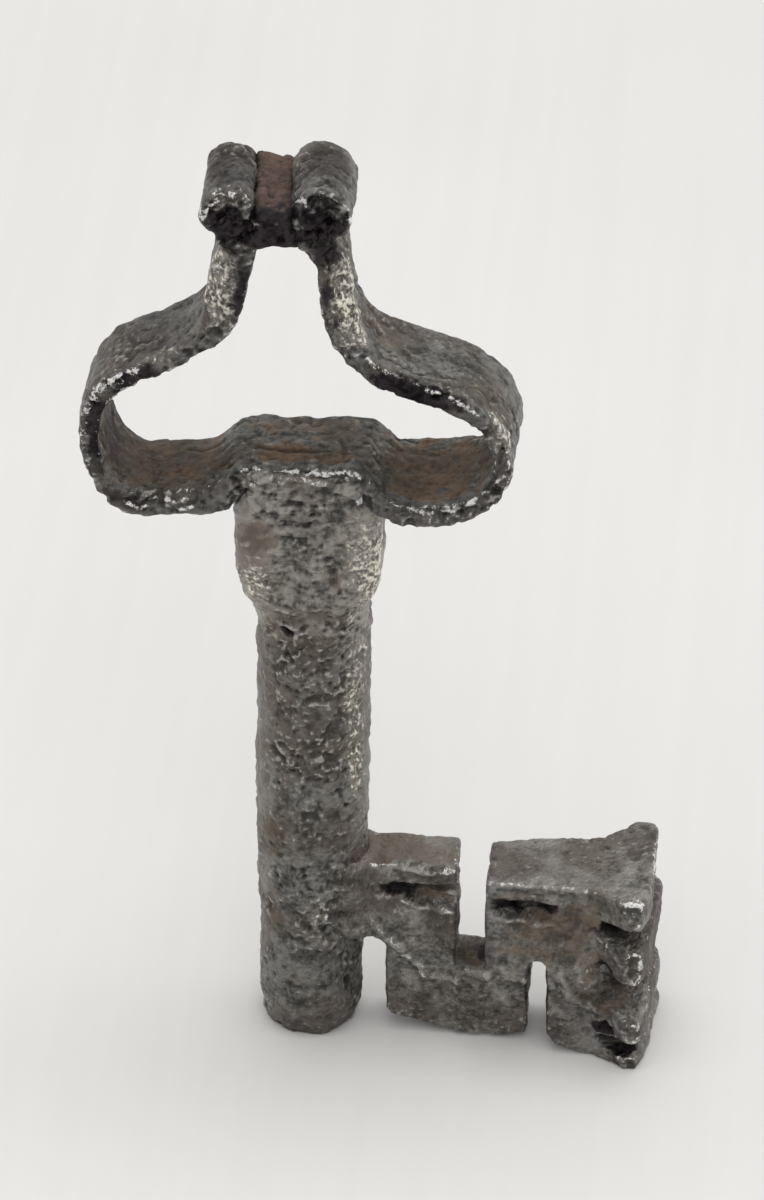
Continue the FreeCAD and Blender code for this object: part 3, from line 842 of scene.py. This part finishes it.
@dataclass
class Shank(Piece):
    """The pipe, whose mouth was forged down on to the neck."""

    outside: Pair = (4.6, 5.4)
    mouth: float = 52.5
    mouth_reach: float = 1.4
    mouth_swell: float = 0.12

    def shape(self, surface: Surface) -> None:
        """Swell the mouth's outer edge, so that no chamfer shows.

        Args:
            surface: The piece's skin.
        """
        points = surface.points()
        outside = smooth_step(np.hypot(points[:, 0], points[:, 1]), *self.outside)
        near = smooth_step(points[:, 2], self.mouth - self.mouth_reach, self.mouth)
        surface.push(outside * near * self.mouth_swell)


@dataclass
class Braze(Piece):
    """The ring of braze, which the lip covers but for the crack."""

    spread: float = 0.25

    def shape(self, surface: Surface) -> None:
        """Let the ring run out to the pipe's own width."""
        surface.push(self.spread)


@dataclass
class Neck(Piece):
    """The neck, drawn over the pipe's mouth below and up to the rim of the bow's strip above."""

    lip: tuple[Pair, ...] = ((51.5, 5.45), (53.0, 5.95), (54.8, 5.6))
    shoulder: tuple[Triple, Triple] = ((-6.7, -5.75, 68.0), (5.6, -2.5, 74.35))
    back_shoulder: tuple[Triple, Triple] = ((-6.2, 2.5, 68.0), (5.2, 5.5, 73.6))
    shoulder_edge: float = 1.1
    tenon_half: float = 2.6
    tenon_from: float = 73.2
    tenon_sink: float = 0.5

    def block(self) -> Shape:
        """Copy the neck's solid and add its lip and its forged shoulders.

        Returns:
            The shape in millimetres.
        """
        shape = Piece.block(self)
        for (low, first), (high, second) in zip(self.lip, self.lip[1:]):
            place = Matrix.Translation((0, 0, (low + high) / 2))
            add_cone(shape, place, (first, second), high - low, 64)
        for low, high in (self.shoulder, self.back_shoulder):
            add_block(shape, low, high, self.shoulder_edge)
        return shape

    def shape(self, surface: Surface) -> None:
        """Keep the tenon's end below the strip's top.

        Args:
            surface: The piece's skin.
        """
        points = surface.points()
        tenon = (np.abs(points[:, 1]) < self.tenon_half) & (points[:, 2] > self.tenon_from)
        surface.push(np.where(tenon, -self.tenon_sink, 0.0))


@dataclass
class Bow(Piece):
    """The bent strip, whose rolled ends have rusted solid."""

    cores: tuple[Triple, ...] = ((-8.85, 104.65, 2.75), (0.75, 104.65, 3.35))
    core_length: float = 9.6
    crust: tuple[tuple[Triple, Triple], ...] = (
        ((-8.3, -4.4, 104.2), (2.5, 1.3, 2.6)),
        ((0.8, -4.4, 104.4), (3.0, 1.4, 2.9)),
        ((-3.8, -4.2, 104.1), (4.6, 1.4, 1.6)),
        ((-8.0, -3.8, 101.9), (2.0, 1.3, 1.9)),
        ((0.5, -3.8, 101.8), (2.3, 1.3, 2.0)),
    )
    crust_low: Pair = (100.6, 101.8)
    crust_front: Pair = (4.3, 5.1)
    crust_lumps: float = 0.60
    crust_size: float = 1.5
    right_roll: Pair = (-1.0, 4.0)
    right_roll_shift: float = 0.35
    plug: tuple[Triple, Triple] = ((-4.2, -2.4, 72.4), (4.0, 2.4, 74.55))
    plug_edge: float = 0.2

    def block(self) -> Shape:
        """Copy the strip's solid, fill its rolls with rusted cores and its mortise flush.

        Returns:
            The shape in millimetres.
        """
        shape = Piece.block(self)
        for centre, reach in self.crust:
            add_lump(shape, centre, reach)
        lying = Matrix.Rotation(math.radians(90), 4, "X")
        for across, height, radius in self.cores:
            place = Matrix.Translation((across, 0, height)) @ lying
            add_cone(shape, place, (radius, radius), self.core_length, 48)
        add_block(shape, *self.plug, self.plug_edge)
        return shape

    def shape(self, surface: Surface) -> None:
        """Roughen the crust on the finial's front and draw the right roll in a little.

        Args:
            surface: The piece's skin.
        """
        points, normals = surface.points(), surface.normals()
        high = smooth_step(points[:, 2], *self.crust_low)
        front = high * smooth_step(-points[:, 1], *self.crust_front)
        near = np.flatnonzero(front > 0.0)
        lumps = fractal(points[near], self.crust_size, 5, Seed.CRUST) * front[near] * self.crust_lumps
        points[near] += normals[near] * lumps[:, None]
        high = smooth_step(points[:, 2], *self.crust_low)
        points[:, 0] -= smooth_step(points[:, 0], *self.right_roll) * high * self.right_roll_shift
        surface.place(points)


@dataclass
class Finial(Piece):
    """The saddle between the rolls, run into both, with an arched underside."""

    spread: float = 0.35
    middle: float = -3.2
    arch: float = 101.9
    drop: float = 0.09
    fillet: Pair = (1.0, 2.4)
    fillet_rise: float = 0.35
    upward: Pair = (0.1, 0.6)

    def shape(self, surface: Surface) -> None:
        """Spread the saddle's ends into the rolls and arch its underside.

        Args:
            surface: The piece's skin.
        """
        surface.push(self.spread)
        points = surface.points()
        aside = np.abs(points[:, 0] - self.middle)
        floor = self.arch - aside ** 2 * self.drop
        upward = smooth_step(surface.normals()[:, 2], *self.upward)
        points[:, 2] += smooth_step(aside, *self.fillet) * upward * self.fillet_rise
        points[:, 2] = np.maximum(points[:, 2], floor)
        surface.place(points)


@dataclass
class Bit(Piece):
    """The bit, whose leaf tips were worn round."""

    worn: tuple[tuple[float, float, int], ...] = ((31.0, -4.2, 4), (28.0, -2.5, 2))
    half_depth: float = 7.26

    def shape(self, surface: Surface) -> None:
        """Wear the tips of the leaves round and keep them inside the bit's depth.

        Args:
            surface: The piece's skin.
        """
        points = surface.points()
        for beyond, before, times in self.worn:
            surface.smooth(times, (points[:, 0] > beyond) & (points[:, 1] < before))
        points = surface.points()
        points[:, 1] = np.clip(points[:, 1], -self.half_depth, self.half_depth)
        surface.place(points)


@dataclass
class Root(Piece):
    """The fillet of braze between the pipe and the bit, thinned out towards both."""

    start: float = 5.4
    reach: float = 2.4
    spread: float = 1.2
    slope: float = 0.42
    below: float = 0.05
    side: Pair = (1.8, 2.6)
    top: Pair = (21.8, 22.6)
    top_share: float = 0.6
    bead: Triple = (3.95, 3.75, 0.80)
    bead_from: Pair = (13.4, 22.9)

    def block(self) -> Shape:
        """Copy the fillet's solid and lay a bead in each corner against the pipe.

        Returns:
            The shape in millimetres.
        """
        shape = Piece.block(self)
        across, out, radius = self.bead
        low, high = self.bead_from
        for side in (-1, 1):
            place = Matrix.Translation((across, side * out, (low + high) / 2))
            add_cone(shape, place, (radius, radius), high - low, 32)
        return shape

    def shape(self, surface: Surface) -> None:
        """Hollow the fillet's straight flare, so that it runs out into the bit's faces.

        Args:
            surface: The piece's skin.
        """
        points = surface.points()
        along = np.clip(points[:, 0] - self.start, 0.0, None)
        straight = self.spread - self.slope * along
        hollow = self.spread * (1.0 - np.clip(along / self.reach, 0.0, 1.0)) ** 2
        sink = np.where(along > 0.0, np.maximum(straight - hollow, 0.0) + self.below, 0.0)
        aside = smooth_step(np.abs(points[:, 1]), *self.side)
        points[:, 1] -= np.sign(points[:, 1]) * sink * aside
        points[:, 2] -= sink * smooth_step(points[:, 2], *self.top) * self.top_share
        surface.place(points)


def patches(rows: dict[Mark, list[tuple]]) -> tuple[Patch, ...]:
    """Patches from rows of centre, reach, amount and, for some, facing, grouped by mark."""
    return tuple(Patch(mark, *row) for mark, group in rows.items() for row in group)


def grooves(*rows: tuple) -> tuple[Groove, ...]:
    """Seams from rows of width, depth and wear, with the points of the path after them."""
    return tuple(Groove(tuple(path), width, depth, wear) for width, depth, wear, *path in rows)


SHANK_PATCHES = patches({
    # Painted glints on the lit right side, with a golden tone.
    Mark.GILT_AND_GLINT: [
        ((4.7, -3.4, 45), (2.1, 2.4, 9), 0.62), ((4.9, -3.2, 36), (1.8, 2.2, 5), 0.66),
        ((5, -3, 51.5), (2.2, 2.2, 3), 0.68), ((1.2, -5.3, 17.5), (1.8, 1.5, 3), 0.42),
    ],
    Mark.RUST: [((-3.8, -4.4, 27), (2.2, 2.6, 5), 0.62), ((-3.6, -4.2, 15.6), (1.8, 2, 2.4), 0.6)],
    # Painted light: the left and right sides are lightened as if lit.
    Mark.LIT_AND_PALE: [((-5.6, -2.4, 34), (2.9, 4.6, 32), 1.8), ((5.6, -2.4, 42), (2.8, 4.6, 24), 1.6)],
    Mark.CALM: [((0, 0, 52.3), (20, 20, 2.8), 1)],
    Mark.PITS: [((0, -5.5, 42), (7, 4, 16), 0.4), ((0, -5.5, 6), (7, 5, 9), -0.5)],
})
SHANK_GROOVES = grooves(
    (0.9, 0.35, 0, (1.6, -5.3, 15.2), (2, -5.2, 14.2)),
    (0.9, 0.4, 0, (4.6, -3.2, 7), (4.4, -3.3, 5.9)),
)
NECK_PATCHES = patches({
    Mark.CALM: [((0, 0, 52.8), (20, 20, 3), 1)],
    # Painted light: both sides are lightened as if lit, and the gilt patches paint golden glints on them.
    Mark.LIT_AND_PALE: [((-7, -3.2, 62), (4.6, 5.4, 12), 2), ((7.4, -3.2, 62), (4.4, 5.4, 12), 2)],
    Mark.GILT_AND_GLINT: [
        ((-5.3, -4.4, 60.8), (3, 3.4, 4.8), 0.9), ((6, -4, 63), (3.2, 4, 8.4), 0.95),
        ((4.2, -5.6, 65.9), (0.8, 0.8, 0.9), 0.9), ((4.8, -4, 56.5), (1.8, 2.5, 2.5), 0.55),
    ],
    # A dark crack at the joint, and painted shade on the front.
    Mark.SOOT_AND_SHADE: [
        ((-2.3, -5.3, 54.1), (1.6, 1.2, 0.9), 0.7), ((-0.4, -5.8, 68.5), (3.6, 1.2, 6), 0.35, FRONT),
    ],
    Mark.RUST: [
        ((-5.2, -4.6, 66.4), (2.6, 3.5, 4.2), 0.66), ((2.6, -5.9, 70), (2.4, 1.6, 2.2), 0.6),
        ((2.4, -5.9, 61.5), (1.8, 1.6, 2.6), 0.55),
    ],
    Mark.WEAR: [((-0.6, -5.7, 74), (7.2, 1, 0.9), 0.62), ((5.7, -5.4, 72.6), (0.8, 0.9, 2.2), 0.6)],
    Mark.PITS: [((-0.4, -5.8, 68), (5, 1.6, 7), 0.35, FRONT)],
})
NECK_GROOVES = grooves(
    (0.5, -0.16, 1.1, (3.4, -5.5, 74.5), (5, -5.5, 74.3), (5.6, -5.6, 73.4), (5.6, -5.6, 72.3),
     (5.1, -5.7, 71.3)),
    (0.5, -0.14, 0.7, (-6, -5.6, 72.6), (-4.6, -5.7, 73.8), (-3, -5.7, 73.4), (-1.2, -5.7, 73.9),
     (0.8, -5.7, 73.3), (2.6, -5.7, 73.8)),
    (0.5, 0.55, 0, (-2.7, -5.2, 54.3), (-1.9, -5.5, 54)),
    (0.7, 0.2, 0, (1.9, -6, 63.2), (2.5, -6, 62.3), (2.8, -6, 61.2)),
)
BOW_PATCHES = patches({
    # Painted highlights and glints: on the arms' lit outer faces, along the front bands and on the lobes'
    # sides.
    Mark.GILT_AND_GLINT: [
        ((-9.5, -3.2, 96), (3, 3.8, 7), 0.8, (-0.7, -0.7, 0.1)),
        ((3.4, -3.4, 94), (3.2, 3.6, 8.6), 0.85, (0.8, -0.5, 0.2)),
        ((-16, -5.2, 69.6), (6, 1.3, 2.4), 0.22, FRONT), ((-23.4, -4.6, 77), (2, 1.4, 7), 0.42),
        ((14, -6, 70.6), (8, 1.4, 3), 0.34, FRONT), ((20.8, -5, 76), (2.6, 1.6, 6), 0.4),
        ((-16, -4.6, 87.6), (4, 1.6, 2.2), 0.5, (-0.5, -0.5, 0.6)),
        ((19.8, -4.8, 80.6), (2.4, 2.4, 4.8), 0.8, (0.6, -0.6, 0.4)),
    ],
    # Dark crust and grime on the rolls and arms, and painted shade over the front faces.
    Mark.SOOT_AND_SHADE: [
        ((-7.2, -5.6, 95.5), (2.2, 1.8, 7.5), 0.85, FRONT), ((1.6, -5.6, 95), (2.4, 1.8, 8), 0.85, FRONT),
        ((-8.6, -4, 100.9), (3.4, 3, 2), 0.75), ((1.4, -4, 100.6), (3.6, 3, 2.4), 0.75),
        ((-4, -4.9, 105.2), (3.6, 1.5, 1.6), 1.2), ((-3.8, -5, 102.8), (4.2, 2, 2.4), 1.2),
        ((-8.3, -5.6, 103.5), (3.7, 1.9, 3.8), 1.2, FRONT),
        ((1, -5.6, 103.5), (4.2, 1.9, 4.1), 1.3, FRONT), ((0, -6.6, 88), (60, 3.4, 60), 0.44, FRONT),
        ((-8.6, 0.5, 107.6), (4.4, 6, 3.6), 0.46, UP), ((1, 0.5, 108), (5, 6, 4), 0.46, UP),
        ((10, -5.8, 85.2), (9.5, 1.5, 4), 1.05, FRONT), ((-16, -5.8, 84.5), (8, 1.5, 4), 0.85, FRONT),
        ((-22.2, -5.6, 77), (2.2, 1.8, 8), 0.85, FRONT), ((-18.5, -5.8, 69.5), (5, 1.6, 2.6), 0.7, FRONT),
        ((-17, 0, 87.5), (8, 9, 5), 0.4, UP), ((-21.5, 1, 73.5), (3.4, 6, 3.4), 0.55, (0.6, 0, 0.8)),
        ((19, 1, 74), (3.4, 6, 3.4), 0.45, (-0.6, 0, 0.8)),
    ],
    Mark.CALM: [
        ((-8.2, -5.6, 103.9), (2.9, 1.6, 2.7), 1.4), ((1, -5.6, 104.2), (3.3, 1.6, 3), 1.4),
        ((-4, -5.2, 103.4), (4.6, 2.2, 3), 1.6),
    ],
    Mark.PITS: [
        ((0, -6.6, 86), (60, 3.4, 60), 0.9, FRONT), ((-8.3, -5.6, 103.8), (4, 2.2, 3.8), 2.2, FRONT),
        ((1, -5.6, 103.8), (4.4, 2.2, 4), 2.2, FRONT), ((-15.5, 0.5, 71.5), (8, 7, 2), -0.7, UP),
        ((12.5, 0.5, 72), (8, 7, 2), -0.7, UP),
    ],
    Mark.WEAR: [
        ((-21.2, -4.9, 83.8), (3.2, 1.2, 2.8), 0.7), ((-23.6, -5, 78), (1, 1.2, 5), 0.55),
        ((-15.4, -5.1, 69.4), (4, 0.8, 1.4), 0.62), ((14.6, -6.4, 71.6), (5, 0.9, 1), 0.35),
        ((-0.8, -5.3, 74.5), (6.8, 1.3, 1.1), 0.55), ((20.6, -5.9, 77), (1, 1, 4), 0.6),
        ((-8.4, -4.4, 107.1), (2.6, 1.6, 1.2), 0.8), ((-11.4, -5, 105.4), (0.9, 0.9, 1.6), 0.8),
        ((-1.6, -5, 107.2), (1.2, 0.9, 1), 0.75), ((1.9, -4.9, 107.6), (2.2, 0.7, 0.7), 0.66),
        ((4.2, -5, 105.6), (0.8, 0.9, 2), 0.8),
    ],
    Mark.RUST: [
        ((-15.5, 0.5, 71.5), (10, 9, 3.4), 0.68, (0.25, 0, 1)),
        ((-20.5, 0.5, 76), (3.4, 9, 7), 0.7, (1, 0, 0.1)),
        ((12.5, 0.5, 72), (10, 9, 3.4), 0.76, (-0.25, 0, 1)),
        ((18, 0.5, 75.5), (3.4, 9, 7), 0.76, (-1, 0, 0.1)), ((-1, -2.2, 74.5), (9.5, 2.6, 3), 0.8, UP),
        ((-1, 2.4, 75), (10, 6, 3), 0.5, UP), ((-9.5, -2, 72.8), (2.8, 2.6, 2), 0.95),
        ((6.8, 0.6, 88.4), (4.4, 6, 4.4), 0.36), ((17.8, -3, 83), (3.4, 4, 3.4), 0.44),
    ],
})
BOW_GROOVES = grooves(
    (0.4, -0.1, 1.1, (-11, -4.9, 104.2), (-10.7, -4.9, 105.4), (-9.8, -4.9, 106.4), (-8.5, -4.9, 107),
     (-6.9, -4.9, 107.1), (-5.9, -4.9, 106.7)),
    (0.4, -0.1, 1.1, (-2.1, -4.9, 106.6), (-0.8, -4.9, 107.3), (1, -4.9, 107.5), (2.6, -4.9, 107),
     (3.6, -4.9, 106.1), (4.2, -4.9, 105.1), (4.5, -4.9, 104.2)),
    (0.6, -0.12, 1.2, (-23.2, -4.9, 80.4), (-22.6, -4.9, 81.6), (-21.7, -5, 83.2), (-20.1, -5.1, 84.6),
     (-18.1, -5.1, 85.7)),
    (0.45, -0.12, 0.8, (5.6, -4.8, 88.6), (6.5, -4.9, 87.7), (9.1, -5.2, 86.5), (12.2, -5.5, 85.5),
     (14.6, -5.6, 84.6), (17.2, -5.6, 82.9)),
    (0.5, -0.12, 0.95, (7.2, -6.4, 72.2), (10.4, -6.5, 71.5), (12.4, -6.6, 71.1), (15.9, -6.6, 71.9),
     (18.1, -6.4, 74), (19.8, -6, 75.8)),
    (0.42, -0.12, 1.05, (-19.6, -5.2, 69.6), (-18, -5.2, 68.7), (-16.6, -5.2, 68.9), (-15.4, -5.2, 68.3),
     (-13.6, -5.1, 68.6), (-12.2, -5.1, 69.3)),
    (0.42, -0.12, 0.85, (-18.2, -5.2, 70.3), (-16.8, -5.2, 69.8), (-15.6, -5.2, 70.2), (-14.2, -5.1, 69.7),
     (-12.8, -5.1, 70.3)),
    (0.5, -0.14, 1.05, (-5.6, -5.3, 74.3), (-4, -5.4, 74.8), (-2.4, -5.4, 74.3), (-0.6, -5.4, 74.6),
     (1.2, -5.4, 74.2), (3.4, -5.4, 74.7), (5, -5.5, 74.4)),
    (0.5, 0.34, 0, (-6, -0.9, 74.6), (-3, -1.5, 74.7), (0.8, -1.6, 74.7), (1.8, -1.2, 74.8)),
    (0.5, 0.25, 0, (2.6, 0.6, 74.8), (3, -0.8, 74.8), (3.2, -2.8, 74.9)),
    (0.55, 0.22, 0, (-13.4, 2.6, 71.1), (-12, 2.2, 71.2), (-10.4, 2.8, 71.7), (-9, 2.4, 72.3)),
    (0.5, 0.18, 0, (6, 1.4, 73.4), (8, 2.2, 72.5), (10.2, 1.6, 71.9)),
)
FINIAL_PATCHES = patches({
    Mark.SOOT_AND_SHADE: [
        ((-4, -5.2, 102.8), (4.8, 2.2, 2.4), 1.2), ((-3.8, -5.2, 104.6), (3.8, 3.1, 2.2), 1.3),
        ((-4, -5.6, 103.2), (6, 1.4, 2.4), 1.1, FRONT),
    ],
    Mark.RUST: [((-4, 0, 106.2), (7, 9, 2.6), 1.3)],
    Mark.PITS: [((-4, -5.6, 103), (6, 1.8, 2.4), 1.6, FRONT)],
})
BIT_PATCHES = patches({
    # Soot and painted shade in the slots, kerfs and hollows between the leaves, and painted shade on the
    # front and right faces.
    Mark.SOOT_AND_SHADE: [
        ((21.8, -4, 19.1), (2.8, 1.9, 0.9), 1.2), ((25.4, -4, 19), (2, 1.9, 0.8), 0.8),
        ((29.4, -5, 6.4), (4.4, 1.5, 7.4), 0.36, FRONT), ((33, -5, 11.8), (2.8, 2.6, 1.7), 0.95),
        ((32.2, -5.6, 4.4), (1.8, 1.8, 1), 1.3), ((32.6, -4.8, 4), (1.6, 1.8, 1), 1),
        ((33, -4, 16.8), (3, 2.4, 1.2), 0.7), ((18.8, 0, 10.5), (1.1, 3.2, 2.6), 1.2),
        ((9.5, -1.6, 18.7), (3.2, 2.4, 1.2), 1), ((34.4, -6.2, 11), (4.8, 3.4, 14), 0.4, FRONT),
        ((37.4, -3, 11), (2.6, 9, 16), 0.42, (1, 0, 0)), ((34.4, -6.3, 2.3), (2.6, 2.3, 1.2), 1.3),
    ],
    Mark.RUST: [
        ((25, -4.4, 18.6), (3, 1.8, 1), 1), ((24, -5.1, 20.9), (6, 1.2, 1.2), 0.55, FRONT),
        ((12, 0, 22.8), (6, 4.5, 1.4), 0.55, UP), ((26, -4.6, 15), (9, 2.4, 6), 0.6, FRONT),
        ((25.5, -5, 17), (7.5, 1.6, 3.4), 0.72, FRONT), ((36, 0, 11), (4, 9, 14), 0.6, (1, 0, 0)),
        ((33, -4, 10), (4, 4, 12), 0.62, (-0.3, -0.2, 1)), ((8, 0, 22.8), (3.2, 4, 1.8), 1),
        ((33.6, -5, 9), (3.2, 3, 2), 1), ((13, -1.6, 18.7), (3, 2.5, 1.4), 1),
        ((16.2, -0.5, 13), (1.2, 4, 6), 1), ((17.5, -0.5, 9.2), (2.4, 3.5, 1.4), 1),
        ((29, -5, 17.8), (5, 1.6, 3.6), 0.75), ((32, -5.4, 8), (3.2, 2, 2.4), 0.9),
        ((30.5, -4.8, 11.4), (1.9, 1.6, 3.4), 0.8), ((27, -4.6, 8), (1.2, 1, 2), 0.6),
    ],
    Mark.CALM: [
        ((11, -3, 18.7), (9, 3, 2.2), 1), ((23, -5, 18.7), (9, 3, 2.2), 1),
        ((17.5, 0, 12), (3.2, 5, 6), 0.7), ((37.6, -6.5, 11), (1.4, 3, 16), 0.8),
        ((26, -5.2, 22.4), (9.5, 1.2, 1.6), 0.9), ((11, -3.1, 22.6), (6, 1.2, 1.4), 0.9),
        ((6.4, 0, 16), (2.4, 9, 14), 1.4),
    ],
    Mark.WEAR: [
        ((14.4, -3.1, 22.2), (1.6, 0.8, 0.8), 0.6), ((35.2, -7.1, 21.6), (2, 1.7, 2.1), 1.1),
        ((35.8, -7.3, 13.9), (1, 1, 1.6), 0.8), ((35.4, -7.3, 5.2), (1, 1, 1.3), 0.8),
        ((35.3, -7.2, 0.9), (1.3, 1, 0.8), 0.7),
    ],
    # Paler tone between the leaves, and painted light on the top faces.
    Mark.LIT_AND_PALE: [
        ((11.5, 0.5, 22.8), (7, 5, 1.6), 1, UP), ((26, -1, 23.5), (14, 8, 3.6), 0.55, UP),
        ((6, 0, 22.8), (3, 5, 1.8), 1), ((30.3, -4.8, 11.8), (1.5, 1.5, 3), 1.5),
    ],
    # Golden tone with painted glint specks on the front.
    Mark.GILT_AND_GLINT: [
        ((9.9, -3, 16.6), (1.4, 1, 1.4), 0.42, FRONT), ((14.2, -3, 17.6), (1.4, 1, 1.2), 0.42, FRONT),
        ((30.3, -4.8, 11.6), (1.4, 1.4, 3.4), 0.3),
    ],
    Mark.PITS: [((33.6, -6.2, 11), (5.5, 4, 14), 0.25)],
})
BIT_GROOVES = grooves(
    (0.9, -0.3, 0.4, (6.7, -3.6, 15.4), (9.9, -3, 11.8), (12.7, -3, 8.3), (16, -3.1, 7.7)),
    (0.45, -0.12, 1.1, (34.6, -7.2, 15.6), (36.2, -7.5, 15.9), (36.3, -7.5, 13.2), (35.5, -7.5, 12),
     (34.8, -7.3, 13.4), (34.6, -7.2, 15.6)),
    (0.45, -0.16, 0.85, (31.4, -5.4, 16.4), (32.6, -5.9, 15.6), (33.8, -6.6, 14.8), (34.8, -7.2, 14)),
    (0.45, -0.16, 0.6, (30.2, -5.1, 9.2), (31.6, -5.6, 8.4), (33, -6.2, 7.6), (34.4, -7, 6.6)),
    (0.4, -0.12, 0.8, (37, -7.2, 21.6), (36.6, -7.3, 20.4), (35.6, -7.3, 19.6)),
    (0.45, -0.12, 1.1, (34.6, -7.2, 6.3), (36.2, -7.5, 6.2), (36.4, -7.5, 4.6), (35.5, -7.5, 3.9),
     (34.7, -7.3, 4.8), (34.6, -7.2, 6.3)),
    (0.45, -0.1, 0.9, (33.8, -7, 1.6), (35.2, -7.5, 0.9), (36.6, -7.4, 1.5)),
    (0.5, -0.16, 1, (6.8, -3.1, 22.5), (8.2, -3, 22.8), (10.2, -3.1, 22.3), (12.4, -3.1, 22),
     (13.8, -3.1, 22.1), (15.8, -3.1, 22.4)),
    (0.45, -0.14, 0.65, (9.8, -3.1, 17.9), (12.6, -3.1, 17.2), (15.6, -3.1, 16.9)),
    (0.45, -0.14, 0.34, (19.6, -5.1, 17.6), (20.6, -5.1, 18.1), (22, -5.1, 17.8), (23.4, -5.1, 18.1),
     (25, -5.1, 17.5), (26.4, -5.1, 17.6)),
    (0.4, -0.12, 0.56, (19.4, -5, 22.6), (22.6, -5, 22.5), (25.2, -5, 22.4), (28, -5, 22.4),
     (31, -5.2, 22.3)),
    (0.35, -0.1, 0.8, (36.9, -5.4, 22.3), (37, -2, 22.4), (37, 1.6, 22.4), (36.8, 4.6, 22.2)),
    (0.42, -0.12, 1.05, (33.6, -6.8, 15.2), (34.2, -7.1, 14), (34.9, -7.3, 12.6), (35.6, -7.3, 11.9)),
    (0.42, -0.12, 1.05, (33.8, -6.9, 6.2), (34.4, -7.1, 5), (35, -7.3, 4), (35.8, -7.3, 3.9)),
    (0.35, 0.14, 0, (20.4, -5.1, 21.8), (22.6, -5.1, 21.7), (25.2, -5.1, 21.5), (27.6, -5.1, 21.6)),
    (0.9, -0.35, 0, (27.6, -5, 10.4), (28.6, -5.1, 8), (31.2, -5.4, 6.4)),
    (0.8, -0.3, 0, (19.6, -5.1, 10.2), (21, -5.1, 11.4), (23.6, -3.4, 8.4)),
)
BIT_DENTS = tuple(Dent(*row) for row in (
    ((9, -3.4, 19.5), (2.6, 2.2, 0.55)), ((12.6, -3.4, 18.5), (2.4, 1.9, 0.75)),
    ((15, -3.4, 18.2), (1.6, 1.6, 1)), ((7, -3.4, 19.3), (1.3, 0.9, 0.45)),
    ((21.6, -5.4, 18.9), (2, 1.8, 0.8)), ((24.6, -5.4, 18.6), (2.2, 1.7, 0.75)),
    ((27.4, -5.4, 18.4), (1.2, 0.8, 0.45)), ((31.6, -6.2, 16.9), (1.9, 1.7, 0.9)),
    ((31.6, -6.3, 11.4), (1.7, 2.6, 1.8)), ((33.6, -7.4, 10.4), (1.6, 2.4, 1.5)),
    ((35, -8, 10), (1.4, 1.7, 1.1)), ((32.4, -6.6, 4.6), (1.3, 2, 0.8)), ((34.2, -8, 3.2), (1.3, 2.2, 0.9)),
    ((34.6, -8.3, 16.2), (1.6, 1.6, 0.8)),
))


def pieces() -> list[Piece]:
    """List the key's pieces, each with its own finish, roughness and marks.

    Returns:
        The pieces from the tip up, with the bit last.
    """
    shank = Roughness(lumps=0.23, creases=0.13, pits=0.30)
    neck = Roughness(lumps=0.26, lump_size=1.7, pits=0.25, pit_size=1.0, stretch=(1.25, 1.1, 0.9))
    strip = Roughness(pits=0.26, lumps=0.20, creases=0.06, stretch=(1.18, 0.92, 1.18), swell=0.03)
    smoother = Roughness(hammer=0.30, pits=0.17, specks=0.07, lumps=0.16, creases=0.08)
    pipe_iron = IronFinish("shank_iron")
    neck_iron = IronFinish(
        "neck_iron", rust=(0.22, 0.180, 0.145), light=(0.362, 0.341, 0.313), tint=(0.200, 0.166, 0.142)
    )
    bow_iron = IronFinish("bow_iron", rust=(0.215, 0.138, 0.086), earth=(0.118, 0.108, 0.088))
    saddle_iron = IronFinish("saddle_iron", rust=(0.15, 0.09, 0.068), earth=(0.14, 0.092, 0.072))
    bit_iron = IronFinish(
        "bit_iron", rust=(0.19, 0.145, 0.108), earth=(0.19, 0.160, 0.130),
        dark=(0.072, 0.070, 0.064), light=(0.325, 0.310, 0.286),
    )
    neck_metal = replace(pipe_iron, name="neck_braze_metal")
    root_metal = replace(bit_iron, name="root_braze_metal")
    return [
        Shank("shank_pipe", "shank_iron", pipe_iron, shank, SHANK_PATCHES, SHANK_GROOVES),
        Braze("neck_braze", "neck_braze_metal", neck_metal),
        Neck("neck_bolster", "neck_iron", neck_iron, neck, NECK_PATCHES, NECK_GROOVES),
        Bow("bow_strip", "bow_iron", bow_iron, strip, BOW_PATCHES, BOW_GROOVES),
        Finial("finial_saddle", "saddle_iron", saddle_iron, smoother, FINIAL_PATCHES, edge_wear=0.0),
        Bit("bit_blade", "bit_iron", bit_iron, smoother, BIT_PATCHES, BIT_GROOVES, BIT_DENTS,
            edge_wear=0.4),
        Root("bit_root_braze", "root_braze_metal", root_metal, smoother, BIT_PATCHES, BIT_GROOVES,
             rounding=8, edge_wear=0.0),
    ]


def main() -> None:
    """Build the pieces and the studio."""
    logging.basicConfig(level=logging.INFO, format="%(message)s")
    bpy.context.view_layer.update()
    Studio().build([piece.build() for piece in pieces()])


if __name__ == "__main__":
    main()
